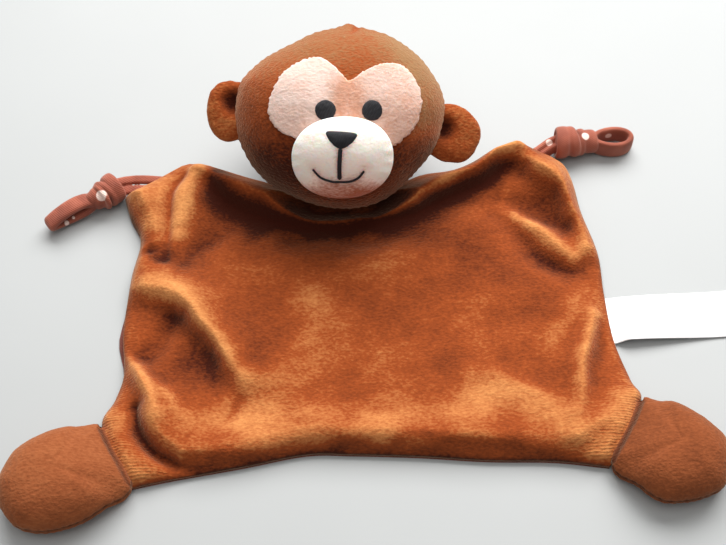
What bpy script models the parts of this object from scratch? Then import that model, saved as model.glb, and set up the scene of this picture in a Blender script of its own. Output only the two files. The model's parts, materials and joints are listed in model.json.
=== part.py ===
"""Stuffed monkey comforter: a flat cloth with a stuffed head, two stuffed feet, two knotted ties and a label.

Units are metres. The cloth lies on the XY plane, +Y points from the feet to the head, and the origin is
the middle of the cloth's underside. Each sewn or stuffed piece is its own closed solid, with GAP between
neighbours.
"""

import math
from collections import namedtuple

import bmesh
import bpy
import numpy as np
from mathutils import Matrix, Vector

GAP = 0.0004
FILL_CLEARANCE = 0.0015

# Cloth
BACK_THICKNESS = 0.0008
FRONT_THICKNESS = 0.0021
CLOTH_PUFF = 0.0022
PUFF_REACH = 0.008
FOLD_REACH = 0.011
EDGE_FOLD_SHARE = 0.3
CLOTH_COLUMNS = 32
CLOTH_ROWS = 23

# Outline of the cloth as it lies, each side from its first corner to its last
CLOTH_BOTTOM = [(-0.109, -0.083), (-0.092, -0.080), (-0.060, -0.0755), (-0.031, -0.071), (-0.010, -0.072),
                (0.020, -0.0745), (0.050, -0.078), (0.080, -0.080), (0.104, -0.084)]
CLOTH_TOP = [(-0.119, 0.073), (-0.108, 0.080), (-0.090, 0.092), (-0.078, 0.0905), (-0.050, 0.0815),
             (-0.028, 0.0725), (-0.008, 0.069), (0.014, 0.0735), (0.033, 0.081), (0.050, 0.083),
             (0.067, 0.089), (0.083, 0.096), (0.101, 0.087)]
CLOTH_LEFT = [(-0.109, -0.083), (-0.123, -0.054), (-0.118, -0.040), (-0.1145, -0.026), (-0.116, -0.004),
              (-0.1135, 0.026), (-0.110, 0.047), (-0.1155, 0.061), (-0.119, 0.073)]
CLOTH_RIGHT = [(0.104, -0.084), (0.123, -0.054), (0.1205, -0.042), (0.116, -0.020), (0.1155, 0.006),
               (0.116, 0.028), (0.1115, 0.052), (0.110, 0.068), (0.1075, 0.080), (0.101, 0.087)]

# Folds of the front panel: peak height (negative for a crease), half width, and route
Fold = namedtuple("Fold", "height half_width route")
FOLDS = [
    Fold(0.0085, 0.0070, [(0.026, 0.067), (0.047, 0.077), (0.066, 0.085), (0.081, 0.092)]),
    Fold(0.0050, 0.0080, [(-0.088, 0.086), (-0.066, 0.078), (-0.048, 0.070)]),
    Fold(0.0050, 0.0160, [(-0.060, 0.040), (-0.020, 0.030), (0.020, 0.030), (0.060, 0.042)]),
    Fold(-0.0045, 0.0075, [(-0.075, 0.077), (-0.064, 0.062), (-0.029, 0.049), (0.001, 0.046),
                           (0.028, 0.055), (0.065, 0.071), (0.077, 0.076)]),
    Fold(0.0070, 0.0070, [(-0.104, 0.073), (-0.103, 0.058), (-0.103, 0.046)]),
    Fold(0.0060, 0.0080, [(-0.080, 0.083), (-0.078, 0.065), (-0.081, 0.044)]),
    Fold(-0.0050, 0.0050, [(-0.086, 0.087), (-0.091, 0.076), (-0.093, 0.061), (-0.096, 0.034)]),
    Fold(0.0095, 0.0075, [(-0.108, 0.017), (-0.094, 0.013), (-0.083, 0.003), (-0.076, -0.009),
                          (-0.066, -0.029), (-0.061, -0.036)]),
    Fold(-0.0040, 0.0070, [(-0.094, -0.001), (-0.104, -0.021)]),
    Fold(0.0065, 0.0060, [(-0.112, -0.016), (-0.105, -0.026), (-0.095, -0.042)]),
    Fold(-0.0040, 0.0050, [(-0.107, -0.054), (-0.101, -0.063), (-0.092, -0.073), (-0.083, -0.077)]),
    Fold(0.0045, 0.0080, [(-0.072, -0.067), (-0.057, -0.062), (-0.039, -0.059), (-0.021, -0.059)]),
    Fold(0.0100, 0.0080, [(0.078, 0.090), (0.086, 0.083), (0.101, 0.067), (0.107, 0.052)]),
    Fold(-0.0040, 0.0080, [(0.073, 0.059), (0.090, 0.054), (0.102, 0.044)]),
    Fold(0.0045, 0.0070, [(0.082, 0.048), (0.094, 0.040), (0.101, 0.032)]),
    Fold(-0.0035, 0.0080, [(0.067, 0.048), (0.083, 0.033), (0.098, 0.017)]),
    Fold(0.0065, 0.0080, [(0.104, -0.016), (0.099, -0.034), (0.095, -0.056)]),
]

# Care label, flat on the table beside the right seam
LABEL_START = (0.1178, -0.0090)
LABEL_LENGTH = 0.062
LABEL_WIDTH = 0.025
LABEL_TURN = math.radians(1.3)
LABEL_THICKNESS = 0.0004
LABEL_STEPS = 8

# Head: an ellipsoid whose face looks up at FACE_ELEVATION above the table
HEAD_CENTRE = Vector((-0.008, 0.0899, 0.0415))
HEAD_HALF_WIDTH = 0.0515
HEAD_HALF_HEIGHT = 0.0445
HEAD_FRONT = 0.036
HEAD_BACK = 0.041
CROWN_PEAK = 0.0030
CROWN_PEAK_SPREAD = 0.16
FACE_ELEVATION = math.radians(52)
HEAD_WALL = 0.0016
HEAD_SEGMENTS = 24
HEAD_RINGS = 7
NECK_REST = 0.0052
HEAD_CLEARANCE = 0.0018
NECK_STEP = 0.008

# Neck
NECK_CENTRE = Vector((-0.008, 0.0645, 0.0045))
NECK_RING_HALF = (0.0120, 0.0040)
NECK_RING_RADIUS = 0.0004
NECK_RING_SECTIONS = 28
THREAD_SIDES = 6
NECK_PRESSED = 0.0065
NECK_RISE = 0.6

# Face, in the head's side and up directions
FACE_LAYER = 0.0012
MUZZLE_BASE = FACE_LAYER + 2 * GAP
MASK_CENTRE = (0.003, 0.001)
MASK_OUTLINE = [(0.0040, 0.0158), (0.0008, 0.0192), (-0.0030, 0.0234), (-0.0068, 0.0264), (-0.0115, 0.0277),
                (-0.0170, 0.0264), (-0.0228, 0.0236), (-0.0272, 0.0200), (-0.0313, 0.0133), (-0.0339, 0.0060),
                (-0.0332, -0.0002), (-0.0302, -0.0048), (-0.0245, -0.0085), (-0.0120, -0.0120),
                (0.0120, -0.0150), (0.0228, -0.0152), (0.0289, -0.0116), (0.0331, -0.0078), (0.0361, -0.0028),
                (0.0378, 0.0046), (0.0370, 0.0117), (0.0340, 0.0178), (0.0298, 0.0218), (0.0250, 0.0234),
                (0.0183, 0.0228), (0.0112, 0.0199), (0.0070, 0.0174)]
MUZZLE_CENTRE = (-0.0003, -0.0198)
MUZZLE_HALF = (0.0235, 0.0186)
MUZZLE_HEIGHT = 0.0125
MUZZLE_WALL = 0.0012
MUZZLE_SHARES = (0.3, 0.55, 0.75, 0.9, 0.97, 1.0)
MUZZLE_SEGMENTS = 24
MUZZLE_ROUNDNESS = 1.3
EYE_RADIUS = 0.0050
EYE_CENTRES = {"eye_left": (-0.0076, 0.0040), "eye_right": (0.0141, 0.0030)}
THREAD_HEIGHT = 0.0007
NOSE_CENTRE = (-0.0010, -0.0105)
NOSE_OUTLINE = [(-0.0072, -0.0072), (-0.0010, -0.0075), (0.0058, -0.0086), (0.0060, -0.0105),
                (0.0030, -0.0136), (-0.0014, -0.0154), (-0.0050, -0.0130), (-0.0072, -0.0096)]
PHILTRUM_ROUTE = [(-0.0014, -0.0164), (-0.0022, -0.0230), (-0.0023, -0.0282)]
SMILE_ROUTE = [(-0.0145, -0.0240), (-0.0110, -0.0280), (-0.0060, -0.0301), (-0.0024, -0.0304),
               (0.0020, -0.0305), (0.0062, -0.0290), (0.0092, -0.0258)]
PHILTRUM_WIDTH = 0.0020
SMILE_WIDTH = 0.0011

# Ears, outlines in the head's side and up directions; the first two points are the hinge seam's ends
EAR_THICKNESS = 0.0068
EAR_RIM = GAP / 2 + 0.0003
EAR_HOLLOW = 0.5
EAR_SHARES = (0.45, 0.8, 0.94, 1.0)
EAR_OUTLINES = {
    "ear_left": [(-0.0504, 0.0172), (-0.0536, -0.0085), (-0.0580, -0.0088), (-0.0630, -0.0040),
                 (-0.0651, 0.0050), (-0.0640, 0.0130), (-0.0600, 0.0188), (-0.0550, 0.0200)],
    "ear_right": [(0.0488, -0.0222), (0.0532, 0.0030), (0.0570, 0.0050), (0.0630, 0.0030),
                  (0.0676, -0.0030), (0.0690, -0.0105), (0.0668, -0.0180), (0.0610, -0.0232),
                  (0.0545, -0.0242)],
}

# Feet, outlines in plan; the first two points are the ankle seam's ends
FOOT_TOP_HEIGHT = 0.0160
FOOT_SEAM_HEIGHT = 0.0085
ANKLE_SEAM_HEIGHT = 0.0040
ANKLE_REACH = 0.012
FOOT_RADIUS = 0.024
FOOT_SHARES = (0.35, 0.65, 0.85, 0.95, 1.0)
FOOT_TOP_ROUNDNESS = 2.6
SOLE_ROUNDNESS = 4.0
FOOT_WALL = 0.0015
FOOT_OUTLINES = {
    "foot_left": [(-0.1255, -0.0555), (-0.1120, -0.0855), (-0.1180, -0.0935), (-0.1300, -0.1010),
                  (-0.1440, -0.1040), (-0.1560, -0.1010), (-0.1632, -0.0920), (-0.1660, -0.0830),
                  (-0.1638, -0.0750), (-0.1590, -0.0660), (-0.1480, -0.0590), (-0.1340, -0.0548)],
    "foot_right": [(0.1075, -0.0868), (0.1250, -0.0560), (0.1320, -0.0562), (0.1410, -0.0610),
                   (0.1500, -0.0695), (0.1560, -0.0780), (0.1570, -0.0880), (0.1515, -0.0985),
                   (0.1440, -0.1025), (0.1340, -0.1045), (0.1230, -0.1040), (0.1140, -0.0970)],
}

# Ties: a strap out of each shoulder corner, a knot, and a loop of strap
TIE_LEFT_STEM = [(-0.1178, 0.0765, 0.0040), (-0.1186, 0.0764, 0.0050), (-0.1196, 0.0762, 0.0060)]
TIE_LEFT_KNOT = (-0.1274, 0.0748, 0.0080)
TIE_LEFT_KNOT_HALF = (0.0062, 0.0085, 0.0078)
TIE_LEFT_LOOP = ((-0.1352, 0.0705), (-0.1550, 0.0587))
TIE_RIGHT_STEM = [(0.0985, 0.0918, 0.0045), (0.1005, 0.0927, 0.0055), (0.1022, 0.0935, 0.0065)]
TIE_RIGHT_KNOT = (0.1110, 0.0945, 0.0080)
TIE_RIGHT_KNOT_HALF = (0.0080, 0.0082, 0.0078)
TIE_RIGHT_LOOP_CENTRE = (0.1310, 0.0945)
TIE_RIGHT_LOOP_HALF = (0.0100, 0.0068)
STRAP_WIDTH = 0.0085
STRAP_THICKNESS = 0.0028
STRAP_SQUARENESS = 0.6
STEM_WIDTH = 0.8 * STRAP_WIDTH
STEM_TIP = 0.0003
TIE_LEFT_LOOP_HEIGHTS = (0.0062, 0.0048)
TIE_LEFT_LOOP_RISE = 0.0031
LOOP_SECTIONS = 24
KNOT_RINGS = 8
KNOT_SEGMENTS = 14
KNOT_WRAPS = 6
KNOT_WRAP_DEPTH = 0.05

# Colours and roughness
RUST_VELOUR = ((0.36, 0.11, 0.032), 0.9)
FOOT_VELOUR = ((0.38, 0.14, 0.055), 0.9)
BACK_JERSEY = ((0.16, 0.035, 0.022), 0.85)
TIE_JERSEY = ((0.30, 0.085, 0.050), 0.85)
PEACH_PLUSH = ((0.80, 0.56, 0.46), 0.9)
MUZZLE_PLUSH = ((0.90, 0.78, 0.72), 0.9)
CHARCOAL_THREAD = ((0.025, 0.025, 0.028), 0.6)
BROWN_THREAD = ((0.10, 0.03, 0.015), 0.7)
WHITE_SATIN = ((0.88, 0.88, 0.88), 0.5)
FIBRE_FILL = ((0.85, 0.85, 0.82), 0.95)

SIDE = Vector((1, 0, 0))
UP = Vector((0, math.sin(FACE_ELEVATION), math.cos(FACE_ELEVATION)))
OUT = Vector((0, -math.cos(FACE_ELEVATION), math.sin(FACE_ELEVATION)))


def clear_scene():
    for obj in list(bpy.data.objects):
        bpy.data.objects.remove(obj, do_unlink=True)


def cloth_material(name, finish):
    colour, roughness = finish
    material = bpy.data.materials.new(name)
    material.use_nodes = True
    shader = material.node_tree.nodes["Principled BSDF"]
    shader.inputs["Base Color"].default_value = (*colour, 1)
    shader.inputs["Roughness"].default_value = roughness
    shader.inputs["Metallic"].default_value = 0
    return material


def pivot(name, place, parent=None):
    """An empty on a joint's axis, which the pieces that move together hang from."""
    empty = bpy.data.objects.new(name, None)
    bpy.context.scene.collection.objects.link(empty)
    empty.location = Vector(place)
    if parent is not None:
        empty.parent = parent
        empty.location -= world_place(parent)
    return empty


def world_place(obj):
    place = obj.location.copy()
    if obj.parent is not None:
        place += world_place(obj.parent)
    return place


def closed_piece(name, points, faces, holder, material):
    """A mesh object from world points, hung from its pivot, with welded points and outward faces."""
    origin = world_place(holder)
    mesh = bpy.data.meshes.new(name)
    mesh.from_pydata([Vector(p) - origin for p in points], [], faces)
    form = bmesh.new()
    form.from_mesh(mesh)
    bmesh.ops.remove_doubles(form, verts=form.verts, dist=1e-6)
    bmesh.ops.recalc_face_normals(form, faces=form.faces)
    form.to_mesh(mesh)
    form.free()
    mesh.shade_smooth()
    mesh.set_sharp_from_angle(angle=math.radians(50))
    mesh.materials.append(material)
    obj = bpy.data.objects.new(name, mesh)
    bpy.context.scene.collection.objects.link(obj)
    obj.parent = holder
    return obj


def solid_from_rings(name, rings, holder, material):
    """A closed solid from rings of equal count, between a first and a last ring of one point."""
    points = [rings[0][0]]
    starts = []
    for ring in rings[1:-1]:
        starts.append(len(points))
        points.extend(ring)
    points.append(rings[-1][0])
    count = len(rings[1])
    last = len(points) - 1
    faces = []
    for k in range(count):
        after = (k + 1) % count
        faces.append((0, starts[0] + k, starts[0] + after))
        faces.append((last, starts[-1] + after, starts[-1] + k))
        for low, high in zip(starts, starts[1:]):
            faces.append((low + k, high + k, high + after, low + after))
    return closed_piece(name, points, faces, holder, material)


def solid_from_grids(name, upper, lower, holder, material):
    """A closed sheet between two grids of points of the same size."""
    rows = len(upper)
    columns = len(upper[0])
    points = [p for row in upper for p in row] + [p for row in lower for p in row]
    below = rows * columns
    faces = []
    for i in range(rows - 1):
        for j in range(columns - 1):
            a = i * columns + j
            quad = (a, a + 1, a + columns + 1, a + columns)
            faces.append(quad)
            faces.append(tuple(below + k for k in reversed(quad)))
    border = list(range(columns))
    border += [i * columns + columns - 1 for i in range(1, rows)]
    border += [(rows - 1) * columns + j for j in range(columns - 2, -1, -1)]
    border += [i * columns for i in range(rows - 2, 0, -1)]
    for a, b in zip(border, border[1:] + border[:1]):
        faces.append((a, below + a, below + b, b))
    return closed_piece(name, points, faces, holder, material)


def solid_from_tube(name, sections, holder, material):
    """A closed tube of sections that joins its own start, for a loop of strap."""
    count = len(sections[0])
    total = len(sections)
    points = [p for section in sections for p in section]
    faces = []
    for i in range(total):
        following = (i + 1) % total
        for k in range(count):
            after = (k + 1) % count
            here, beyond = i * count, following * count
            faces.append((here + k, beyond + k, beyond + after, here + after))
    return closed_piece(name, points, faces, holder, material)


def smooth_curve(points, count, closed=False):
    """`count` points spaced evenly along a smooth curve through the given points."""
    given = [Vector(p) for p in points]
    total = len(given)
    spans = total if closed else total - 1
    fine = []
    for i in range(spans):
        if closed:
            p0, p1, p2, p3 = (given[(i + k) % total] for k in (-1, 0, 1, 2))
        else:
            p1, p2 = given[i], given[i + 1]
            p0 = given[i - 1] if i > 0 else p1 + (p1 - p2)
            p3 = given[i + 2] if i + 2 < total else p2 + (p2 - p1)
        for k in range(12):
            t = k / 12
            fine.append(0.5 * (2 * p1 + (p2 - p0) * t + (2 * p0 - 5 * p1 + 4 * p2 - p3) * t**2
                               + (3 * p1 - p0 - 3 * p2 + p3) * t**3))
    fine.append(given[0] if closed else given[-1])
    travelled = [0.0]
    for a, b in zip(fine, fine[1:]):
        travelled.append(travelled[-1] + (b - a).length)
    steps = count if closed else count - 1
    targets = [travelled[-1] * k / steps for k in range(count)]
    axes = range(len(fine[0]))
    columns = [np.interp(targets, travelled, [p[axis] for p in fine]) for axis in axes]
    return [Vector(p) for p in zip(*columns)]


def smooth_step(value):
    value = min(max(value, 0.0), 1.0)
    return value * value * (3 - 2 * value)


# ---------------------------------------------------------------- cloth


def distance_to_route(x, y, route):
    """Distance in plan from a place to a route of straight runs."""
    best = math.inf
    for (ax, ay), (bx, by) in zip(route, route[1:]):
        dx, dy = bx - ax, by - ay
        share = ((x - ax) * dx + (y - ay) * dy) / (dx * dx + dy * dy)
        share = min(max(share, 0.0), 1.0)
        best = min(best, math.hypot(x - ax - share * dx, y - ay - share * dy))
    return best


def fold_height(x, y):
    """Height that the folds add to the cloth at this place."""
    shares = [distance_to_route(x, y, fold.route) / fold.half_width for fold in FOLDS]
    return sum(fold.height * math.exp(-share**2) for fold, share in zip(FOLDS, shares))


def cloth_grid():
    """Plan points of the cloth, a Coons patch between its four sides, rows from the bottom up."""
    bottom = smooth_curve(CLOTH_BOTTOM, CLOTH_COLUMNS + 1)
    top = smooth_curve(CLOTH_TOP, CLOTH_COLUMNS + 1)
    left = smooth_curve(CLOTH_LEFT, CLOTH_ROWS + 1)
    right = smooth_curve(CLOTH_RIGHT, CLOTH_ROWS + 1)
    grid = []
    for i in range(CLOTH_ROWS + 1):
        v = i / CLOTH_ROWS
        row = []
        for j in range(CLOTH_COLUMNS + 1):
            u = j / CLOTH_COLUMNS
            sides = (1 - v) * bottom[j] + v * top[j] + (1 - u) * left[i] + u * right[i]
            corners = ((1 - u) * (1 - v) * bottom[0] + u * (1 - v) * bottom[-1]
                       + (1 - u) * v * top[0] + u * v * top[-1])
            row.append(sides - corners)
        grid.append(row)
    return grid


def cloth_border(grid):
    border = list(grid[0])
    border += [row[-1] for row in grid[1:]]
    border += list(reversed(grid[-1][:-1]))
    border += [row[0] for row in reversed(grid[1:-1])]
    return border


def cloth_edge_y(x):
    """Where the cloth's top edge lies at this x."""
    edge = smooth_curve(CLOTH_TOP, 60)
    return float(np.interp(x, [p.x for p in edge], [p.y for p in edge]))


def head_underside(x, y):
    """Height of the head's lower skin above this point, or None beside the head."""
    squares = Matrix.Diagonal((HEAD_HALF_WIDTH**-2, HEAD_HALF_HEIGHT**-2, HEAD_BACK**-2))
    axes = Matrix((SIDE, UP, OUT))
    form = axes.transposed() @ squares @ axes
    base = Vector((x, y, 0)) - HEAD_CENTRE
    rise = Vector((0, 0, 1))
    a = rise.dot(form @ rise)
    b = 2 * rise.dot(form @ base)
    c = base.dot(form @ base) - 1
    inside = b * b - 4 * a * c
    if inside <= 0:
        return None
    return (-b - math.sqrt(inside)) / (2 * a)


def cloth_top_height(x, y, inset):
    """Height of the front panel's pile at a point `inset` from the cloth's edge."""
    lowest = BACK_THICKNESS + GAP + FRONT_THICKNESS
    puff = CLOTH_PUFF * (1 - math.exp(-inset / PUFF_REACH))
    share = EDGE_FOLD_SHARE + (1 - EDGE_FOLD_SHARE) * smooth_step(inset / FOLD_REACH)
    height = lowest + puff + share * fold_height(x, y)
    skin = head_underside(x, y)
    if skin is not None:
        height = min(height, skin - HEAD_CLEARANCE)
    neck_left = (NECK_CENTRE.x - NECK_RING_HALF[0], NECK_CENTRE.y)
    neck_right = (NECK_CENTRE.x + NECK_RING_HALF[0], NECK_CENTRE.y)
    from_neck = distance_to_route(x, y, [neck_left, neck_right])
    height = min(height, lowest + NECK_RISE * max(from_neck - NECK_PRESSED, 0))
    return max(height, lowest)


def make_cloth(body, velour, jersey):
    grid = cloth_grid()
    border = cloth_border(grid)
    ring = [(p.x, p.y) for p in border]
    upper, lower = [], []
    for row in grid:
        tops = []
        for p in row:
            inset = distance_to_route(p.x, p.y, ring + ring[:1])
            tops.append(Vector((p.x, p.y, cloth_top_height(p.x, p.y, inset))))
        upper.append(tops)
        lower.append([p - Vector((0, 0, FRONT_THICKNESS)) for p in tops])
    solid_from_grids("body_front", upper, lower, body, velour)
    count = len(border)
    points = [Vector((p.x, p.y, z)) for z in (0, BACK_THICKNESS) for p in border]
    faces = [tuple(range(count)), tuple(range(count, 2 * count))]
    faces += [(k, (k + 1) % count, count + (k + 1) % count, count + k) for k in range(count)]
    closed_piece("body_back", points, faces, body, jersey)


def make_label(pivot_label, satin):
    along = Vector((math.cos(LABEL_TURN), math.sin(LABEL_TURN), 0))
    across = Vector((-along.y, along.x, 0))

    def layer(height):
        start = Vector((*LABEL_START, GAP + height))
        return [[start + along * LABEL_LENGTH * j / LABEL_STEPS + across * LABEL_WIDTH * side
                 for j in range(LABEL_STEPS + 1)] for side in (-0.5, 0, 0.5)]

    solid_from_grids("care_label", layer(LABEL_THICKNESS), layer(0), pivot_label, satin)


# ---------------------------------------------------------------- head


def resting_height(x, y):
    """The height the head's skin rests at: on the cloth over its edge, and on the table beyond it."""
    return NECK_REST * smooth_step((cloth_edge_y(x) + NECK_STEP - y) / NECK_STEP)


def head_point(polar, around, depth):
    """A point `depth` under the head's skin; polar 0 is the middle of the face."""
    side = (HEAD_HALF_WIDTH - depth) * math.sin(polar) * math.cos(around)
    up = (HEAD_HALF_HEIGHT - depth) * math.sin(polar) * math.sin(around)
    reach = HEAD_FRONT if math.cos(polar) > 0 else HEAD_BACK
    out = (reach - depth) * math.cos(polar)
    if around % math.tau < math.pi:
        from_crown = math.acos(min(1.0, math.sin(polar) * math.sin(around)))
        up += CROWN_PEAK * math.exp(-from_crown / CROWN_PEAK_SPREAD)
    place = HEAD_CENTRE + side * SIDE + up * UP + out * OUT
    place.z = max(place.z, resting_height(place.x, place.y) + depth)
    return place


def face_point(side, up, height):
    """A point `height` above the head's front skin, at this place on the face."""
    room = max(1 - (side / HEAD_HALF_WIDTH) ** 2 - (up / HEAD_HALF_HEIGHT) ** 2, 0.0)
    out = HEAD_FRONT * math.sqrt(room)
    slope = Vector((side / HEAD_HALF_WIDTH**2, up / HEAD_HALF_HEIGHT**2, out / HEAD_FRONT**2))
    local = Vector((side, up, out)) + height * slope.normalized()
    return HEAD_CENTRE + local.x * SIDE + local.y * UP + local.z * OUT


def head_ring(polar, depth, spread=(0.0, math.tau), closed=True):
    """A ring, or an open half ring, of points round the middle of the face."""
    steps = HEAD_SEGMENTS if closed else HEAD_SEGMENTS // 2
    first, last = spread
    turns = [first + (last - first) * k / steps for k in range(steps if closed else steps + 1)]
    return [head_point(polar, turn, depth) for turn in turns]


def make_head(head, velour, fibre):
    quarter = math.pi / 2
    half_seam = GAP / 2 / HEAD_HALF_HEIGHT
    front_polars = [quarter * k / HEAD_RINGS for k in range(HEAD_RINGS)] + [quarter - half_seam]
    outer = [head_ring(polar, 0) for polar in front_polars[1:]]
    inner = [head_ring(polar, HEAD_WALL) for polar in front_polars[1:]]
    poles = [head_point(0, 0, 0)], [head_point(0, 0, HEAD_WALL)]
    rings = [poles[0], *outer, *reversed(inner), poles[1]]
    solid_from_rings("head_front", rings, head, velour)

    back_polars = [quarter + half_seam]
    back_polars += [quarter * (1 + k / HEAD_RINGS) for k in range(1, HEAD_RINGS + 1)]
    for name, spread, shift in (("head_back_right", (-quarter, quarter), GAP / 2),
                                ("head_back_left", (quarter, 3 * quarter), -GAP / 2)):
        apart = Vector((shift, 0, 0))
        layers = []
        for depth in (0, HEAD_WALL):
            half_rings = [head_ring(polar, depth, spread, closed=False) for polar in back_polars]
            layers.append([[p + apart for p in half_ring] for half_ring in half_rings])
        solid_from_grids(name, layers[0], layers[1], head, velour)

    depth = HEAD_WALL + FILL_CLEARANCE
    polars = [math.pi * k / (2 * HEAD_RINGS) for k in range(1, 2 * HEAD_RINGS)]
    rings = [[head_point(0, 0, depth)], *[head_ring(polar, depth) for polar in polars],
             [head_point(math.pi, 0, depth)]]
    solid_from_rings("head_stuffing", rings, head, fibre)


def make_neck_stitching(neck, thread):
    half_x, half_y = NECK_RING_HALF
    sections = []
    for k in range(NECK_RING_SECTIONS):
        turn = math.tau * k / NECK_RING_SECTIONS
        direction = Vector((math.cos(turn) * half_x, math.sin(turn) * half_y, 0))
        outward = Vector((math.cos(turn) / half_x, math.sin(turn) / half_y, 0)).normalized()
        section = []
        for m in range(THREAD_SIDES):
            lean = math.tau * m / THREAD_SIDES
            away = math.cos(lean) * outward + math.sin(lean) * Vector((0, 0, 1))
            section.append(NECK_CENTRE + direction + NECK_RING_RADIUS * away)
        sections.append(section)
    solid_from_tube("neck_stitching", sections, neck, thread)


def patch_on_face(name, outline, centre, levels, surface, holder, material, rings=3):
    """A patch between two heights over a surface, inside an outline that its centre can see."""
    low, high = levels
    middle = Vector(centre)

    def layer(share, height):
        places = [middle + (p - middle) * share for p in outline]
        return [surface(p.x, p.y, height) for p in places]

    shares = [k / rings for k in range(1, rings + 1)]
    stack = [[surface(*centre, high)]]
    stack += [layer(share, high) for share in shares]
    stack += [layer(share, low) for share in reversed(shares)]
    stack += [[surface(*centre, low)]]
    solid_from_rings(name, stack, holder, material)


def muzzle_point(side, up, height):
    """A point `height` above the muzzle's skin; height is measured along OUT."""
    across = math.hypot((side - MUZZLE_CENTRE[0]) / MUZZLE_HALF[0], (up - MUZZLE_CENTRE[1]) / MUZZLE_HALF[1])
    return face_point(side, up, MUZZLE_BASE) + (muzzle_dome(across, MUZZLE_HEIGHT) + height) * OUT


def muzzle_dome(share, height):
    """Height of the muzzle's dome at this share of the way from its middle to its rim."""
    return height * math.sqrt(max(1 - share ** (2 * MUZZLE_ROUNDNESS), 0.0))


def ellipse(centre, half, count):
    return [Vector((centre[0] + half[0] * math.cos(math.tau * k / count),
                    centre[1] + half[1] * math.sin(math.tau * k / count))) for k in range(count)]


def make_muzzle(head, plush, fibre):
    def ring(share, height, inset):
        half = [(extent - inset * extent / MUZZLE_HALF[1]) * share for extent in MUZZLE_HALF]
        places = ellipse(MUZZLE_CENTRE, half, MUZZLE_SEGMENTS)
        return [face_point(p.x, p.y, MUZZLE_BASE) + muzzle_dome(share, height) * OUT for p in places]

    def dome_rings(sink):
        height = MUZZLE_HEIGHT - sink
        middle = [face_point(*MUZZLE_CENTRE, MUZZLE_BASE) + height * OUT]
        return [middle] + [ring(share, height, sink) for share in MUZZLE_SHARES]

    cover = dome_rings(0) + list(reversed(dome_rings(MUZZLE_WALL)))
    solid_from_rings("muzzle_cover", cover, head, plush)
    sink = MUZZLE_WALL + GAP
    floor = [ring(share, 0, sink) for share in (0.6, 0.3)]
    filling = dome_rings(sink) + floor + [[face_point(*MUZZLE_CENTRE, MUZZLE_BASE)]]
    solid_from_rings("muzzle_stuffing", filling, head, fibre)


def ribbon_outline(route, width, count):
    """The outline of a round-ended ribbon along a route."""
    line = smooth_curve(route, count)
    left, right = [], []
    for k, p in enumerate(line):
        ahead = line[min(k + 1, count - 1)] - line[max(k - 1, 0)]
        normal = Vector((-ahead.y, ahead.x)).normalized()
        left.append(p + normal * width / 2)
        right.append(p - normal * width / 2)
    return left, right


def ribbon_on_muzzle(name, route, width, holder, material, count=9):
    left, right = ribbon_outline(route, width, count)
    grids = []
    for height in (GAP + THREAD_HEIGHT, GAP):
        grids.append([[muzzle_point(p.x, p.y, height) for p in side] for side in (left, right)])
    solid_from_grids(name, grids[0], grids[1], holder, material)


def make_face(head, peach, thread):
    outline = smooth_curve(MASK_OUTLINE, 40, closed=True)
    mask_levels = (GAP, GAP + FACE_LAYER)
    patch_on_face("face_mask", outline, MASK_CENTRE, mask_levels, face_point, head, peach, rings=5)
    eye_levels = (MUZZLE_BASE, MUZZLE_BASE + THREAD_HEIGHT)
    for name, centre in EYE_CENTRES.items():
        circle = ellipse(centre, (EYE_RADIUS, EYE_RADIUS), 16)
        patch_on_face(name, circle, centre, eye_levels, face_point, head, thread, rings=2)
    nose = smooth_curve(NOSE_OUTLINE, 20, closed=True)
    nose_levels = (GAP, GAP + THREAD_HEIGHT)
    patch_on_face("nose", nose, NOSE_CENTRE, nose_levels, muzzle_point, head, thread)
    ribbon_on_muzzle("philtrum", PHILTRUM_ROUTE, PHILTRUM_WIDTH, head, thread)
    ribbon_on_muzzle("smile", SMILE_ROUTE, SMILE_WIDTH, head, thread, count=15)


def ear_point(side, up, out):
    return HEAD_CENTRE + side * SIDE + up * UP + out * OUT


def make_ear(name, holder, velour):
    """An ear as two halves: a hollowed front, and a rounded back."""
    outline = smooth_curve(EAR_OUTLINES[name], 22, closed=True)
    middle = sum(outline, Vector((0, 0))) / len(outline)
    for half_name, sign, hollow in (("front", 1, EAR_HOLLOW), ("back", -1, 0.0)):

        def layer(share, out):
            places = [middle + (p - middle) * share for p in outline]
            return [ear_point(p.x, p.y, sign * out) for p in places]

        def bulge(share):
            dome = EAR_THICKNESS / 2 * math.sqrt(max(1 - share**4, 0))
            return EAR_RIM + dome * (1 - hollow * (1 - share**2))

        rings = [[ear_point(middle.x, middle.y, sign * bulge(0))]]
        rings += [layer(share, bulge(share)) for share in EAR_SHARES]
        rings += [layer(share, GAP / 2) for share in (1.0, 0.5)]
        rings += [[ear_point(middle.x, middle.y, sign * GAP / 2)]]
        solid_from_rings(f"{name}_{half_name}", rings, holder, velour)


# ---------------------------------------------------------------- feet


def seam_height(p, ankle):
    """Height of the foot's seam: low at the ankle, higher round the toe."""
    away = smooth_step(distance_to_route(p.x, p.y, ankle) / ANKLE_REACH)
    return ANKLE_SEAM_HEIGHT + (FOOT_SEAM_HEIGHT - ANKLE_SEAM_HEIGHT) * away


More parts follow.
